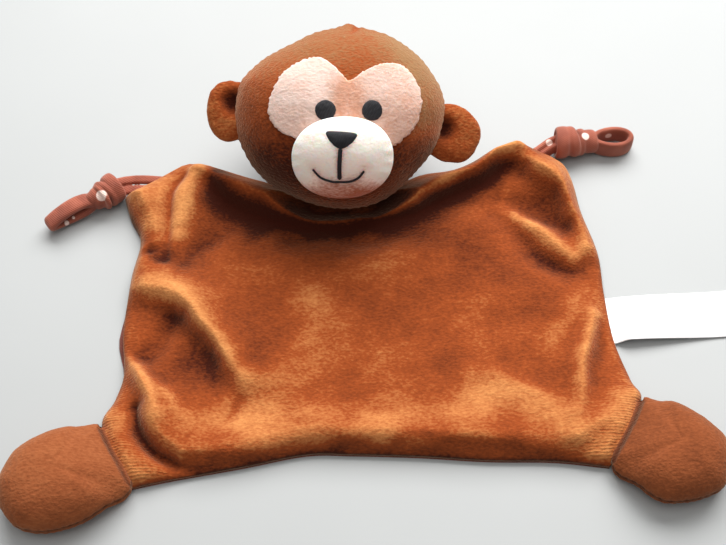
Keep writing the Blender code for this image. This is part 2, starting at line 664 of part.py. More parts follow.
def foot_layers(outline, ankle, sign, sink):
    """Rings of half a foot from its middle to its seam, `sink` under its skin; sign is 1 above the seam."""
    middle = sum(outline, Vector((0, 0))) / len(outline)
    middle_seam = seam_height(middle, ankle)
    inset = 1 - sink / FOOT_RADIUS
    height = FOOT_TOP_HEIGHT if sign > 0 else FOOT_SEAM_HEIGHT
    roundness = FOOT_TOP_ROUNDNESS if sign > 0 else SOLE_ROUNDNESS
    rings = []
    for share in FOOT_SHARES:
        ring = []
        for p in outline:
            place = middle + (p - middle) * share * inset
            seam = seam_height(p, ankle) * share + middle_seam * (1 - share)
            swell = (height - sink) * math.sqrt(max(1 - share**roundness, 0))
            z = seam + sign * (GAP / 2 + swell)
            ring.append(Vector((place.x, place.y, max(z, sink))))
        rings.append(ring)
    centre_height = max(middle_seam + sign * (GAP / 2 + height - sink), sink)
    return [Vector((middle.x, middle.y, centre_height))], rings


def make_foot(name, holder, velour, fibre):
    outline = smooth_curve(FOOT_OUTLINES[name], 26, closed=True)
    ankle = FOOT_OUTLINES[name][:2]
    for part, sign in (("top", 1), ("sole", -1)):
        outer_pole, outer = foot_layers(outline, ankle, sign, 0)
        inner_pole, inner = foot_layers(outline, ankle, sign, FOOT_WALL)
        rings = [outer_pole, *outer, *reversed(inner), inner_pole]
        solid_from_rings(f"{name}_{part}", rings, holder, velour)
    sink = FOOT_WALL + FILL_CLEARANCE / 2
    top_pole, top = foot_layers(outline, ankle, 1, sink)
    sole_pole, sole = foot_layers(outline, ankle, -1, sink)
    rings = [top_pole, *top, *reversed(sole), sole_pole]
    solid_from_rings(f"{name}_stuffing", rings, holder, fibre)


# ---------------------------------------------------------------- ties


def rounded_section(centre, wide, thick, width, thickness, count=10):
    """One section of a strap: a flat rounded shape, `wide` and `thick` its unit directions."""
    section = []
    for k in range(count):
        turn = math.tau * k / count
        a = math.copysign(abs(math.cos(turn)) ** STRAP_SQUARENESS, math.cos(turn)) * width / 2
        b = math.copysign(abs(math.sin(turn)) ** STRAP_SQUARENESS, math.sin(turn)) * thickness / 2
        section.append(centre + a * wide + b * thick)
    return section


def make_stem(name, route, wide, holder, jersey):
    line = smooth_curve(route, 4)
    along = (line[-1] - line[0]).normalized()
    thick = along.cross(wide).normalized()
    sections = [rounded_section(p, wide, thick, STEM_WIDTH, STRAP_THICKNESS) for p in line]
    rings = [[line[0] - along * STEM_TIP], *sections, [line[-1] + along * STEM_TIP]]
    solid_from_rings(name, rings, holder, jersey)


def make_knot(name, centre, half, turn, holder, jersey):
    """A knot as a barrel of wraps: a lumpy ellipsoid, turned in plan to follow its tie."""
    spin = Matrix.Rotation(turn, 3, "Z")
    middle = Vector(centre)
    rings = [[middle + spin @ Vector((-half[0], 0, 0))]]
    for k in range(1, KNOT_RINGS):
        polar = math.pi * k / KNOT_RINGS
        reach = math.sin(polar) * (1 + KNOT_WRAP_DEPTH * math.cos(KNOT_WRAPS * polar))
        ring = []
        for m in range(KNOT_SEGMENTS):
            around = math.tau * m / KNOT_SEGMENTS
            local = (-half[0] * math.cos(polar), half[1] * reach * math.cos(around),
                     half[2] * reach * math.sin(around))
            place = middle + spin @ Vector(local)
            place.z = max(place.z, 0.0)
            ring.append(place)
        rings.append(ring)
    rings.append([middle + spin @ Vector((half[0], 0, 0))])
    solid_from_rings(name, rings, holder, jersey)


def make_loop(name, path, wide, holder, jersey):
    """A loop of strap along a closed path; wide is the direction that the strap's width lies in."""
    count = len(path)
    sections = []
    for k, p in enumerate(path):
        ahead = (path[(k + 1) % count] - path[k - 1]).normalized()
        thick = ahead.cross(wide).normalized()
        sections.append(rounded_section(p, wide, thick, STRAP_WIDTH, STRAP_THICKNESS, count=8))
    solid_from_tube(name, sections, holder, jersey)


def oval(middle, reach, rise):
    """The middle line of a loop, an ellipse with these two half axes."""
    turns = [math.tau * k / LOOP_SECTIONS for k in range(LOOP_SECTIONS)]
    return [middle + reach * math.cos(turn) + rise * math.sin(turn) for turn in turns]


def make_ties(tie_left, loop_left, tie_right, loop_right, jersey):
    run = (Vector(TIE_LEFT_LOOP[1]) - Vector(TIE_LEFT_LOOP[0])).normalized()
    left_angle = math.atan2(run.y, run.x)
    across = Vector((-run.y, run.x, 0))
    make_stem("tie_left_stem", TIE_LEFT_STEM, Vector((0, 1, 0)), tie_left, jersey)
    make_knot("tie_left_knot", TIE_LEFT_KNOT, TIE_LEFT_KNOT_HALF, left_angle, tie_left, jersey)
    start, end = (Vector((*place, height)) for place, height in zip(TIE_LEFT_LOOP, TIE_LEFT_LOOP_HEIGHTS))
    rise = Vector((0, 0, TIE_LEFT_LOOP_RISE))
    path = oval((start + end) / 2, (end - start) / 2, rise)
    make_loop("tie_left_loop", path, across, loop_left, jersey)

    make_stem("tie_right_stem", TIE_RIGHT_STEM, Vector((0, 0, 1)), tie_right, jersey)
    make_knot("tie_right_knot", TIE_RIGHT_KNOT, TIE_RIGHT_KNOT_HALF, 0.0, tie_right, jersey)
    middle = Vector((*TIE_RIGHT_LOOP_CENTRE, STRAP_WIDTH / 2))
    half_x, half_y = TIE_RIGHT_LOOP_HALF
    path = oval(middle, Vector((half_x, 0, 0)), Vector((0, half_y, 0)))
    make_loop("tie_right_loop", path, Vector((0, 0, 1)), loop_right, jersey)


def main():
    clear_scene()
    velour = cloth_material("rust_velour", RUST_VELOUR)
    foot_velour = cloth_material("foot_velour", FOOT_VELOUR)
    back_jersey = cloth_material("back_jersey", BACK_JERSEY)
    tie_jersey = cloth_material("tie_jersey", TIE_JERSEY)
    peach = cloth_material("peach_plush", PEACH_PLUSH)
    pale = cloth_material("muzzle_plush", MUZZLE_PLUSH)
    charcoal = cloth_material("charcoal_thread", CHARCOAL_THREAD)
    brown_thread = cloth_material("brown_thread", BROWN_THREAD)
    satin = cloth_material("white_satin", WHITE_SATIN)
    fibre = cloth_material("fibre_fill", FIBRE_FILL)

    body = pivot("body_origin", (0, 0, 0))
    make_cloth(body, velour, back_jersey)
    make_label(pivot("label_seam", (*LABEL_START, 0), body), satin)

    neck = pivot("neck_pivot", NECK_CENTRE, body)
    head = pivot("head_pivot", NECK_CENTRE, neck)
    make_neck_stitching(neck, brown_thread)
    make_head(head, velour, fibre)
    make_face(head, peach, charcoal)
    make_muzzle(head, pale, fibre)
    for name in EAR_OUTLINES:
        first, second = EAR_OUTLINES[name][:2]
        seam = ear_point((first[0] + second[0]) / 2, (first[1] + second[1]) / 2, 0)
        make_ear(name, pivot(f"{name}_seam", seam, head), velour)

    for name in FOOT_OUTLINES:
        first, second = FOOT_OUTLINES[name][:2]
        ankle = ((first[0] + second[0]) / 2, (first[1] + second[1]) / 2, ANKLE_SEAM_HEIGHT)
        make_foot(name, pivot(f"{name}_ankle", ankle, body), foot_velour, fibre)

    tie_left = pivot("tie_left_corner", TIE_LEFT_STEM[0], body)
    tie_right = pivot("tie_right_corner", TIE_RIGHT_STEM[0], body)
    loop_left = pivot("loop_left_knot", (*TIE_LEFT_LOOP[0], TIE_LEFT_LOOP_HEIGHTS[0]), tie_left)
    loop_right_place = (TIE_RIGHT_LOOP_CENTRE[0] - TIE_RIGHT_LOOP_HALF[0], TIE_RIGHT_LOOP_CENTRE[1],
                        TIE_RIGHT_KNOT[2])
    loop_right = pivot("loop_right_knot", loop_right_place, tie_right)
    make_ties(tie_left, loop_left, tie_right, loop_right, tie_jersey)


main()
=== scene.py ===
import json
import math
from collections import namedtuple

import bmesh
import bpy
import numpy as np
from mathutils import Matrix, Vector
from mathutils.bvhtree import BVHTree
from mathutils.kdtree import KDTree

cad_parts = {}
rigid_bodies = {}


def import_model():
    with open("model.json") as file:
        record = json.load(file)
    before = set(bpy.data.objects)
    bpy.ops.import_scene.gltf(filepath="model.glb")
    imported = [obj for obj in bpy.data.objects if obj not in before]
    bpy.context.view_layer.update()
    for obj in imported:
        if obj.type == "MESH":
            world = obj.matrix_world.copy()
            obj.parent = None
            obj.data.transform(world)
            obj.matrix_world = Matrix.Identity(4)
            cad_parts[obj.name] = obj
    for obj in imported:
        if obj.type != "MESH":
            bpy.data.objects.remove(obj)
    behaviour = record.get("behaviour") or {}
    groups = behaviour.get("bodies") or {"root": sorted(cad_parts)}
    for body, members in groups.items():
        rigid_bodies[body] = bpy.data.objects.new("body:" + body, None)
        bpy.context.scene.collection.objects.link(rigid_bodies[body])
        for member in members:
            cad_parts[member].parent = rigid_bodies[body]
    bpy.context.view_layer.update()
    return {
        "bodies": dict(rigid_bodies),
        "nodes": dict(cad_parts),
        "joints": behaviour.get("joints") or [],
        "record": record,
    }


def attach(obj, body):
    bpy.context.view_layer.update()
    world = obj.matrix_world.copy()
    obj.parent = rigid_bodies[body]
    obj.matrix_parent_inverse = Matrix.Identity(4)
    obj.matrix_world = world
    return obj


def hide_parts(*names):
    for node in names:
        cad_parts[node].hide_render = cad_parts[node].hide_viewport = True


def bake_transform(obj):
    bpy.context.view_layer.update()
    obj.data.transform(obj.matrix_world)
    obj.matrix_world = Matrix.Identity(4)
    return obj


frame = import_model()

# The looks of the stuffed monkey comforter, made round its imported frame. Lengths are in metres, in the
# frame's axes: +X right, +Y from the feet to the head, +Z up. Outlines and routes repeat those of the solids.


def mm(places):
    """Places given in millimetres, as tuples in metres."""
    return [tuple(number / 1000 for number in place) for place in places]


# Camera
CAMERA_PLACE = (-0.0172, -0.2921, 0.5088)
CAMERA_AIM = (0.028, 0.529, -0.848)
CAMERA_LENS = 60.4
CAMERA_SENSOR = 36

# Light: place, target, size, power in watts and colour of each lamp
WINDOW = ((0.26, 0.95, 1.05), (0.0, 0.02, 0.0), (1.7, 1.0), 49, (1.0, 0.985, 0.97))
SOFT_TOP = ((-0.1, -0.2, 1.4), (0.0, 0.0, 0.0), (1.0, 1.0), 6, (1.0, 0.98, 0.95))
WORLD_COLOUR = (1.0, 0.98, 0.96)
WORLD_STRENGTH = 0.37
FLOOR_SIZE = 6

# Stuffing, by cloth simulation, on a coarser ball than the piece's own
BALL_LEVEL = 7
PATCH_LEVEL = 6
FILL_LEVEL = 5
FILL_START = 0.97
FILL_PRESSURE = 4
FILL_FRAMES = 20
FILL_QUALITY = 6
FILL_NEIGHBOURS = 6
FILL_CAP = 0.0012
FILL_BLUR = 0.05

# Cloth
BACK_THICKNESS = 0.0008
BACK_GRID = (46, 64)
BACK_SPILL = 0.0022
PANEL_BOTTOM = 0.0013
FRONT_THICKNESS = 0.0021
CLOTH_LOWEST = 0.0033
CLOTH_COLUMNS = 320
CLOTH_ROWS = 230
CLOTH_PUFF = 0.0042
TOP_PUFF = 0.0034
TOP_PUFF_FROM = 0.055
PUFF_REACH = 0.006
HEM_RADIUS = 0.0038
FOLD_REACH = 0.01
EDGE_FOLD_SHARE = 0.5
FOLD_WANDER = 0.0022
FOLD_FLOOR = 0.0013
BRUSH_WANDER = 0.005
EDGE_CROWDING = 0.45
CLOTH_BOTTOM = mm([(-109, -83), (-92, -80), (-60, -75.5), (-31, -71), (-10, -72), (20, -74.5), (50, -78),
                   (80, -80), (104, -84)])
CLOTH_TOP = mm([(-119, 73), (-108, 80), (-90, 92), (-78, 90.5), (-50, 81.5), (-28, 72.5), (-8, 69),
                (14, 73.5), (33, 81), (50, 83), (67, 89), (83, 96), (101, 87)])
CLOTH_LEFT = mm([(-109, -83), (-123, -54), (-118, -40), (-114.5, -26), (-116, -4), (-113.5, 26),
                 (-110, 47), (-115.5, 61), (-119, 73)])
CLOTH_RIGHT = mm([(104, -84), (123, -54), (120.5, -42), (116, -20), (115.5, 6), (116, 28), (111.5, 52),
                  (110, 68), (107.5, 80), (101, 87)])
ANKLE_RISE = 0.0034
ANKLE_SPREAD = 0.015
ANKLE_GROOVE = 0.0024
ANKLE_GROOVE_WIDTH = 0.0032
CLOTH_LIGHT_AND_SHADE_LIMITS = (-1.6, 1.1)

# Folds, in millimetres: peak height (negative for a crease), half width to the left and to the right of the
# route, and the route
Fold = namedtuple("Fold", "height left right route")
FOLDS = [Fold(height / 1000, left / 1000, right / 1000, mm(route)) for height, left, right, route in [
    (10.5, 9, 4.6, [(10, 53.5), (24, 59.5), (40, 67.5), (60, 78), (80, 87.5)]),
    (-6, 4.5, 12.5, [(1, 48), (22, 53.5), (44, 64), (64, 73.5), (79, 79)]),
    (8, 8, 5, [(-85, 84), (-68, 77.5), (-50, 68), (-30, 60.5), (-10, 57.5)]),
    (-6, 4.5, 12, [(-75, 76.5), (-66, 67), (-52, 58.5), (-36, 52), (-18, 48.5), (1, 48), (22, 53.5)]),
    (1.8, 12, 24, [(-62, 34), (-30, 28.5), (5, 27.5), (40, 36)]),
    (6, 13, 10, [(-108, 77), (-105.5, 58), (-103.5, 44)]),
    (6, 7, 11, [(-82, 86), (-85.5, 66), (-88, 46)]),
    (-4.2, 3, 4.2, [(-87, 88), (-91.5, 74), (-93.5, 56), (-95, 32)]),
    (3.5, 7, 7, [(-114, 73), (-110, 67)]),
    (-4.5, 5.5, 6, [(-104.5, 42), (-101.5, 35)]),
    (-3.8, 6, 9, [(-68, 51), (-77, 42), (-86, 31)]),
    (4, 6, 6, [(-109, 50), (-107, 34), (-109, 22)]),
    (10.5, 16.5, 5.2, [(-112, 17.5), (-103, 14.5), (-92, 10.5), (-83, 3), (-76, -9), (-68, -22),
                       (-58, -33)]),
    (-5, 6, 6, [(-93, -1), (-100, -12.5), (-106.5, -17.5), (-113, -14)]),
    (-2.2, 10, 12, [(-92, -18), (-84, -26), (-73, -34)]),
    (7, 6, 5, [(-117, -16), (-110, -23.5), (-103.5, -38), (-97, -52)]),
    (1.8, 4, 4, [(-99, -34), (-92, -44), (-87, -52)]),
    (-1.5, 3.2, 2.8, [(-59, -44), (-67, -54)]),
    (-6.8, 3, 3.8, [(-108.5, -48), (-105.6, -56.5), (-99.5, -66), (-91, -73.5), (-80, -79)]),
    (6.2, 12, 4.6, [(-101, -53), (-93.5, -63), (-80, -70.5), (-64, -69.5), (-33, -65), (10, -67.5),
                    (53, -71.2), (88, -73.5)]),
    (2.4, 7, 5, [(90, -73.5), (102, -65), (112, -54)]),
    (10.5, 12, 5.2, [(70, 83), (83.5, 80), (94.5, 69), (103, 58), (108, 45), (110, 30)]),
    (-5, 5, 6, [(70, 62), (80, 58), (90, 52), (102, 43)]),
    (5, 5.5, 6, [(78, 50), (86, 44), (93.5, 35), (100.5, 24)]),
    (-4.2, 5.5, 7, [(66, 53), (76.5, 44), (86.5, 28), (97.5, 18.5), (111, 20)]),
    (5, 4.5, 6, [(106.5, -8), (103, -20), (99, -34), (96.5, -47), (92, -60)]),
    (-2.4, 3.5, 4, [(112, -8), (109.5, -20), (108.5, -30)]),
    (2.2, 6, 12, [(47, -36), (62, -41), (75, -49), (86, -60)]),
]]
# Strokes of the pile's brushing and of painted light and shade: tone, lighter (over 0) or darker, half width
# and route in millimetres
# Painted shade lies along creases, along the hem and under the head; painted light on lit ridges and over the
# lower cloth
Stroke = namedtuple("Stroke", "tone width route")
BRUSHED_AND_PAINTED_LIGHT = [Stroke(tone, width / 1000, mm(route)) for tone, width, route in [
    (0.6, 11, [(-22, 2), (-30, -22), (-46, -44), (-72, -53), (-90, -50)]),
    (0.6, 9, [(-60, -56), (-20, -58.5), (20, -59), (50, -56)]),
    (0.75, 10, [(50, -44), (70, -53), (84, -63)]),
    (0.2, 12, [(8, 22), (16, 4), (0, -30)]),
    (-0.25, 12, [(6, -4), (36, -30), (60, -34), (86, -42)]),
    (-0.35, 11, [(-85, 32), (-64, 40), (-22, 30), (18, 36), (60, 40)]),
    (-0.2, 14, [(-62, -10), (-50, -20)]),
    (-0.4, 14, [(50, 20), (82, 2)]),
    (0.35, 6, [(106, 8), (97, -6), (88, -22)]),
    (0.45, 9, [(-98, 26), (-104, 10)]),
    (0.6, 10, [(-112, 74), (-101, 80), (-100, 52)]),
    (0.7, 6, [(-83.5, 86), (-87.5, 66), (-88.5, 48)]),
    (0.5, 5, [(88, 90), (98, 83), (106, 72)]),
    (-0.7, 8, [(-73, 69), (-65.5, 59), (-56, 52)]),
    (-0.5, 8, [(-84, -22), (-74, -30)]),
    (-0.5, 7, [(-108, -60), (-96, -72), (-84, -78)]),
    (-0.6, 6.5, [(-106.5, 41.5), (-102.5, 34)]),
    (-1, 8, [(-74, 78.5), (-60, 65.5), (-41, 56.5), (-20, 52), (2, 51.5), (22, 56.5), (44, 67),
             (63, 76)]),
    (-0.6, 10, [(-40, 64), (-8, 58), (26, 64)]),
    (-0.4, 2.6, [(-80, -75.5), (-60, -72.2), (-33, -67.8), (10, -70.3), (53, -74.2), (88, -76.5)]),
]]
# Smaller shapes of the cloth: size of each feature and its height
CLOTH_SWELLS = [(0.045, 0.001), (0.016, 0.00045), (0.006, 0.00014), (0.0015, 0.00009)]

# Label
LABEL_START = (0.1138, -0.0091)
LABEL_LENGTH = 0.066
LABEL_WIDTH = 0.025
LABEL_TURN = math.radians(1.3)
LABEL_THICKNESS = 0.0003
LABEL_HEIGHT = 0.0005
LABEL_TUCK = 0.0004
LABEL_WAVE = 0.0006
LABEL_LIFT = 0.0042
LABEL_LIFT_LENGTH = 0.06
LABEL_LIFT_FROM = 0.002
LABEL_LIFT_RUN = 0.008
LABEL_STEPS = (62, 28)

# Head
HEAD_CENTRE = np.array((-0.008, 0.0899, 0.0415))
HEAD_HALF_WIDTH = 0.0515
HEAD_HALF_HEIGHT = 0.0445
HEAD_FRONT = 0.036
HEAD_BACK = 0.041
HEAD_OUTLINE = mm([(-48.7, 19), (-51.7, 7.9), (-51.7, -6.1), (-48.7, -16.7), (-42.9, -26.1), (-34, -34),
                   (-20, -41.2), (-5, -45), (9.5, -45.2), (24, -40), (37.8, -27.8), (46.2, -17.1),
                   (50.1, -6.7), (51.9, 3.7), (49.4, 14.3), (42.7, 25.1), (33.9, 33.8), (23.6, 40),
                   (10, 42.8), (-0.9, 42.8), (-11.5, 41.4), (-23.6, 36.7), (-34.4, 31.6), (-42.3, 26.3)])
CROWN_PEAK = 0.0032
CROWN_PEAK_SPREAD = 0.13
CROWN_TIP = (0.12, 0.993, 0.0)
CROWN_DART = 0.0013
SEAM_TIGHTNESS = 0.7
FACE_ELEVATION = math.radians(52)
SIDE = np.array((1.0, 0.0, 0.0))
UP = np.array((0.0, math.sin(FACE_ELEVATION), math.cos(FACE_ELEVATION)))
OUT = np.array((0.0, -math.cos(FACE_ELEVATION), math.sin(FACE_ELEVATION)))
HEAD_AXES = np.stack([SIDE, UP, OUT])
NECK_REST = 0.0052
NECK_STEP = 0.008
HEAD_CLEARANCE = 0.0018
NECK_CENTRE = np.array((-0.008, 0.0645, 0.0045))
NECK_RING_HALF = (0.012, 0.004)
NECK_STITCH_HALF = (0.01, 0.003)
NECK_PRESSED = 0.0065
NECK_RISE = 0.6
NECK_STITCHES = 18
HEAD_SWELLS = [(0.022, 0.0006), (0.007, 0.00018), (0.0012, 0.00009)]

# Face, in the head's side and up directions
MASK_CENTRE = np.array((0.003, 0.001))
MASK_OUTLINE = mm([(4, 15.8), (0.8, 19.2), (-3, 23.4), (-6.8, 26.4), (-11.5, 27.7), (-17, 26.4),
                   (-22.8, 23.6), (-27.2, 20), (-31.3, 13.3), (-33.9, 6), (-33.2, -0.2), (-30.2, -4.8),
                   (-24.5, -8.5), (-12, -12), (12, -15), (22.8, -15.2), (28.9, -11.6), (33.1, -7.8),
                   (36.1, -2.8), (37.8, 4.6), (37, 11.7), (34, 17.8), (29.8, 21.8), (25, 23.4),
                   (18.3, 22.8), (11.2, 19.9), (7, 17.4)])
MASK_THICKNESS = 0.0017
MASK_RIM = 0.0016
MASK_RAGGED = 0.00055
MASK_NOTCH = np.array((0.004, 0.012))
BETWEEN_EYES = np.array((0.0035, 0.0015))
MASK_SWELLS = [(0.012, 0.0003), (0.004, 0.00012), (0.0011, 0.00008)]
MUZZLE_CENTRE = np.array((-0.0003, -0.0198))
MUZZLE_HALF = np.array((0.024, 0.0192))
MUZZLE_SQUARENESS = 0.92
MUZZLE_HEIGHT = 0.013
MUZZLE_ROUNDNESS = 2.15
MUZZLE_PLEAT = 0.0008
MUZZLE_PLEATS = 26
MUZZLE_BULGE = 0.001
MUZZLE_SWELLS = [(0.01, 0.0004), (0.004, 0.00012), (0.0011, 0.00008)]
EYE_RADIUS = 0.0048
EYE_CENTRES = {"eye_left": (-0.0074, 0.0027), "eye_right": (0.0142, 0.0017)}
FACE_RISE = 0.0016
THREAD_HEIGHT = 0.0008
THREAD_PITCH = 0.00055
THREAD_RELIEF = 0.00009
NOSE_CENTRE = np.array((-0.001, -0.0105))
NOSE_OUTLINE = mm([(-7.2, -7.2), (-1, -7.5), (5.8, -8.6), (6, -10.5), (3, -13.6), (-1.4, -15.4),
                   (-5, -13), (-7.2, -9.6)])
PHILTRUM_ROUTE = mm([(-1.4, -15), (-2.2, -23), (-2.3, -29.6)])
PHILTRUM_WIDTH = 0.002
SMILE_ROUTE = mm([(-14.5, -24), (-11, -28), (-6, -30.1), (-2.4, -30.4), (2, -30.5), (6.2, -29),
                  (9.2, -25.8)])
SMILE_WIDTH = 0.0012

# Ears, outlines in the head's side and up directions; each reaches a little way into the head
EAR_THICKNESS = 0.0076
EAR_HOLLOW = 0.0036
EAR_OUTLINES = {
    "ear_left": mm([(-44, 15), (-44, -6), (-51.4, -9.2), (-57.7, -9.2), (-63.3, -4.2), (-65.4, 5),
                    (-63.4, 14.2), (-57.9, 19.4), (-49.9, 19.2)]),
    "ear_right": mm([(40, -15), (44, 2.5), (51.9, 4.3), (59.5, 2.6), (66, -2.9), (68.8, -10.5),
                     (66.4, -18.2), (61.1, -23.6), (55.2, -24.8), (47.5, -22.8)]),
}
EAR_HOLLOWS = {"ear_left": (-0.052, 0.009), "ear_right": (0.0502, -0.0078)}
EAR_HOLLOW_REACH = 0.0054
EAR_SWELLS = [(0.008, 0.0003), (0.0022, 0.00022)]

# Feet, outlines in plan; the first two points are the ankle seam's ends
FOOT_TOP_HEIGHT = 0.016
FOOT_SEAM_HEIGHT = 0.0085
ANKLE_SEAM_HEIGHT = 0.004
ANKLE_REACH = 0.012
ANKLE_TUCK = 0.0058
ANKLE_CORNER_SHARE = 0.05
ANKLE_FULLNESS = 0.55
ANKLE_NARROWING = 0.014
ANKLE_SQUARER = 1.5
ANKLE_LIP = 0.0032
ANKLE_LIP_RUN = 0.005
FOOT_TOP_ROUNDNESS = 2.6
SOLE_ROUNDNESS = 4.0
FOOT_OUTLINES = {
    "foot_left": mm([(-125.5, -55.5), (-112, -85.5), (-118, -93.5), (-130, -101), (-144, -104),
                     (-156, -101), (-163.2, -92), (-166, -83), (-163.8, -75), (-159, -66), (-148, -59),
                     (-134, -54.8)]),
    "foot_right": mm([(107.5, -86.8), (125, -56), (132, -56.2), (141, -61), (150, -69.5), (156, -78),
                      (157, -88), (151.5, -98.5), (144, -102.5), (134, -104.5), (123, -104), (114, -97)]),
}
FOOT_TONE_SHIFTS = {"foot_left": 0.35, "foot_right": 0.0}
FOOT_SWELLS = [(0.018, 0.00035), (0.006, 0.0002), (0.0012, 0.00009)]

# Ties
STRAP_WIDTH = 0.01
STRAP_THICKNESS = 0.0034
TIE_LEFT_STEM = mm([(-95, 80, 3.2), (-105, 81.2, 3.6), (-112.5, 81.2, 4.5), (-119, 79.2, 6.5),
                    (-124.5, 76.5, 8)])
TIE_LEFT_KNOT = np.array((-0.126, 0.0757, 0.008))
TIE_LEFT_KNOT_HALF = (0.0062, 0.008, 0.0078)
TIE_LEFT_KNOT_AXIS = np.array((-0.7, -0.71, 0.0))
TIE_LEFT_COLLAR = np.array((-0.1325, 0.0718, 0.0072))
TIE_LEFT_LOOP = ((-0.1352, 0.0705), (-0.155, 0.0587))
TIE_LEFT_LOOP_HEIGHTS = (0.007, 0.0062)
TIE_LEFT_LOOP_RISE = 0.0032
TIE_LEFT_LOOP_THICKNESS = 0.0044
TIE_RIGHT_STEM = mm([(89, 87, 3.5), (95, 90.5, 4.2), (101, 93.5, 6.5), (106, 94.5, 8)])
TIE_RIGHT_KNOT = np.array((0.109, 0.0945, 0.008))
TIE_RIGHT_KNOT_HALF = (0.007, 0.0086, 0.008)
TIE_RIGHT_BAND = np.array((0.1185, 0.095, 0.007))
TIE_RIGHT_LOOP_CENTRE = (0.1332, 0.0955)
TIE_RIGHT_LOOP_HALF = (0.0096, 0.0052)
TIE_DOTS = [((-0.1288, 0.07, 0.0122), 0.0029), ((-0.1475, 0.06, 0.004), 0.0014),
            ((-0.144, 0.0625, 0.0045), 0.001), ((0.1, 0.0945, 0.008), 0.0018),
            ((0.118, 0.094, 0.0125), 0.0021), ((0.132, 0.1, 0.006), 0.002)]

# Waves that Blender's wave texture makes over a length of 1 at a scale of 1
WAVES_PER_UNIT = 3.1831

# Colours, linear; the deep and light ends of each velour's ramp also give its painted shade and painted
# highlights
DEEP_RUST = (0.042, 0.008, 0.0044)
MAIN_RUST = (0.262, 0.054, 0.013)
LIGHT_RUST = (0.6, 0.255, 0.085)
HEAD_HIGHLIGHT = (0.255, 0.132, 0.058)
SHEEN_RUST = (1.0, 0.7, 0.48)
SHEEN_PLUSH = (1.0, 0.9, 0.85)
SHEEN_MUZZLE = (1.0, 0.95, 0.92)
SHEEN_JERSEY = (1.0, 0.72, 0.62)
PLUSH_DEEP = (0.58, 0.29, 0.2)
PLUSH_MAIN = (0.73, 0.505, 0.44)
PLUSH_LIGHT = (0.79, 0.61, 0.55)
MUZZLE_DEEP = (0.36, 0.11, 0.055)
MUZZLE_MAIN = (0.98, 0.8, 0.71)
MUZZLE_LIGHT = (0.98, 0.9, 0.85)
JERSEY_DEEP = (0.105, 0.022, 0.013)
JERSEY_MAIN = (0.29, 0.072, 0.04)
JERSEY_LIGHT = (0.47, 0.165, 0.1)
FOOT_DEEP = (0.075, 0.02, 0.009)
FOOT_MAIN = (0.222, 0.062, 0.022)
FOOT_LIGHT = (0.38, 0.13, 0.05)
BACK_DEEP = (0.06, 0.012, 0.009)
BACK_MAIN = (0.16, 0.035, 0.022)
BACK_LIGHT = (0.28, 0.08, 0.055)
DOT_COLOUR = (0.8, 0.62, 0.55)
THREAD_COLOUR = (0.009, 0.009, 0.011)
BROWN_THREAD = (0.1, 0.03, 0.015)
SATIN_COLOUR = (0.9, 0.9, 0.91)
FLOOR_COLOUR = (0.355, 0.37, 0.373)


# ---------------------------------------------------------------- camera, floor and light


def make_camera():
    data = bpy.data.cameras.new("camera")
    data.lens = CAMERA_LENS
    data.sensor_width = CAMERA_SENSOR
    camera = bpy.data.objects.new("camera", data)
    bpy.context.scene.collection.objects.link(camera)
    camera.location = CAMERA_PLACE
    camera.rotation_euler = Vector(CAMERA_AIM).to_track_quat("-Z", "Y").to_euler()
    bpy.context.scene.camera = camera


def area_light(name, place, target, size, power, colour):
    data = bpy.data.lights.new(name, "AREA")
    data.shape = "RECTANGLE"
    data.size, data.size_y = size
    data.energy = power
    data.color = colour
    light = bpy.data.objects.new(name, data)
    bpy.context.scene.collection.objects.link(light)
    light.location = place
    light.rotation_euler = (Vector(target) - Vector(place)).to_track_quat("-Z", "Y").to_euler()


def make_studio():
    area_light("window", *WINDOW)
    area_light("soft_top", *SOFT_TOP)
    world = bpy.data.worlds.new("studio")
    bpy.context.scene.world = world
    world.use_nodes = True
    backdrop = world.node_tree.nodes["Background"]
    backdrop.inputs["Color"].default_value = (*WORLD_COLOUR, 1)
    backdrop.inputs["Strength"].default_value = WORLD_STRENGTH
    bpy.context.scene.view_settings.view_transform = "Standard"


def make_floor():
    material, tree, shader = blank_material("pale_floor")
    grain = add(tree, "TexNoise", {"Scale": 60, "Detail": 3})
    darker = [c * 0.97 for c in FLOOR_COLOUR]
    shade = mix_colours(tree, grain.outputs["Fac"], [(0.3, FLOOR_COLOUR), (0.7, darker)])
    tree.links.new(shade, shader.inputs["Base Color"])
    put(shader, {"Roughness": 0.55})
    bpy.ops.mesh.primitive_plane_add(size=FLOOR_SIZE, location=(0, 0, 0))
    floor = bpy.context.object
    floor.name = "floor"
    floor.data.materials.append(material)


# ---------------------------------------------------------------- materials


def blank_material(name):
    material = bpy.data.materials.new(name)
    material.use_nodes = True
    return material, material.node_tree, material.node_tree.nodes["Principled BSDF"]


def add(tree, kind, inputs=(), **settings):
    """A new shader node. An input given as a socket is linked, and any other is a value."""
    made = tree.nodes.new("ShaderNode" + kind)
    for key, value in settings.items():
        setattr(made, key, value)
    for key, value in dict(inputs).items():
        if isinstance(value, bpy.types.NodeSocket):
            tree.links.new(value, made.inputs[key])
        else:
            made.inputs[key].default_value = value
    return made


def put(shader, values):
    """Sets several of the shader's own inputs."""
    for key, value in values.items():
        shader.inputs[key].default_value = value


def mix_colours(tree, share, stops):
    """A colour that runs through the stops as share goes from 0 to 1."""
    ramp = add(tree, "ValToRGB", {"Fac": share})
    elements = ramp.color_ramp.elements
    while len(elements) < len(stops):
        elements.new(0.5)
    for element, (place, colour) in zip(elements, stops):
        element.position = place
        element.color = (*colour, 1)
    return ramp.outputs["Color"]


def calculate(tree, operation, *values, clamp=False):
    made = add(tree, "Math", dict(enumerate(values)), operation=operation, use_clamp=clamp)
    return made.outputs["Value"]


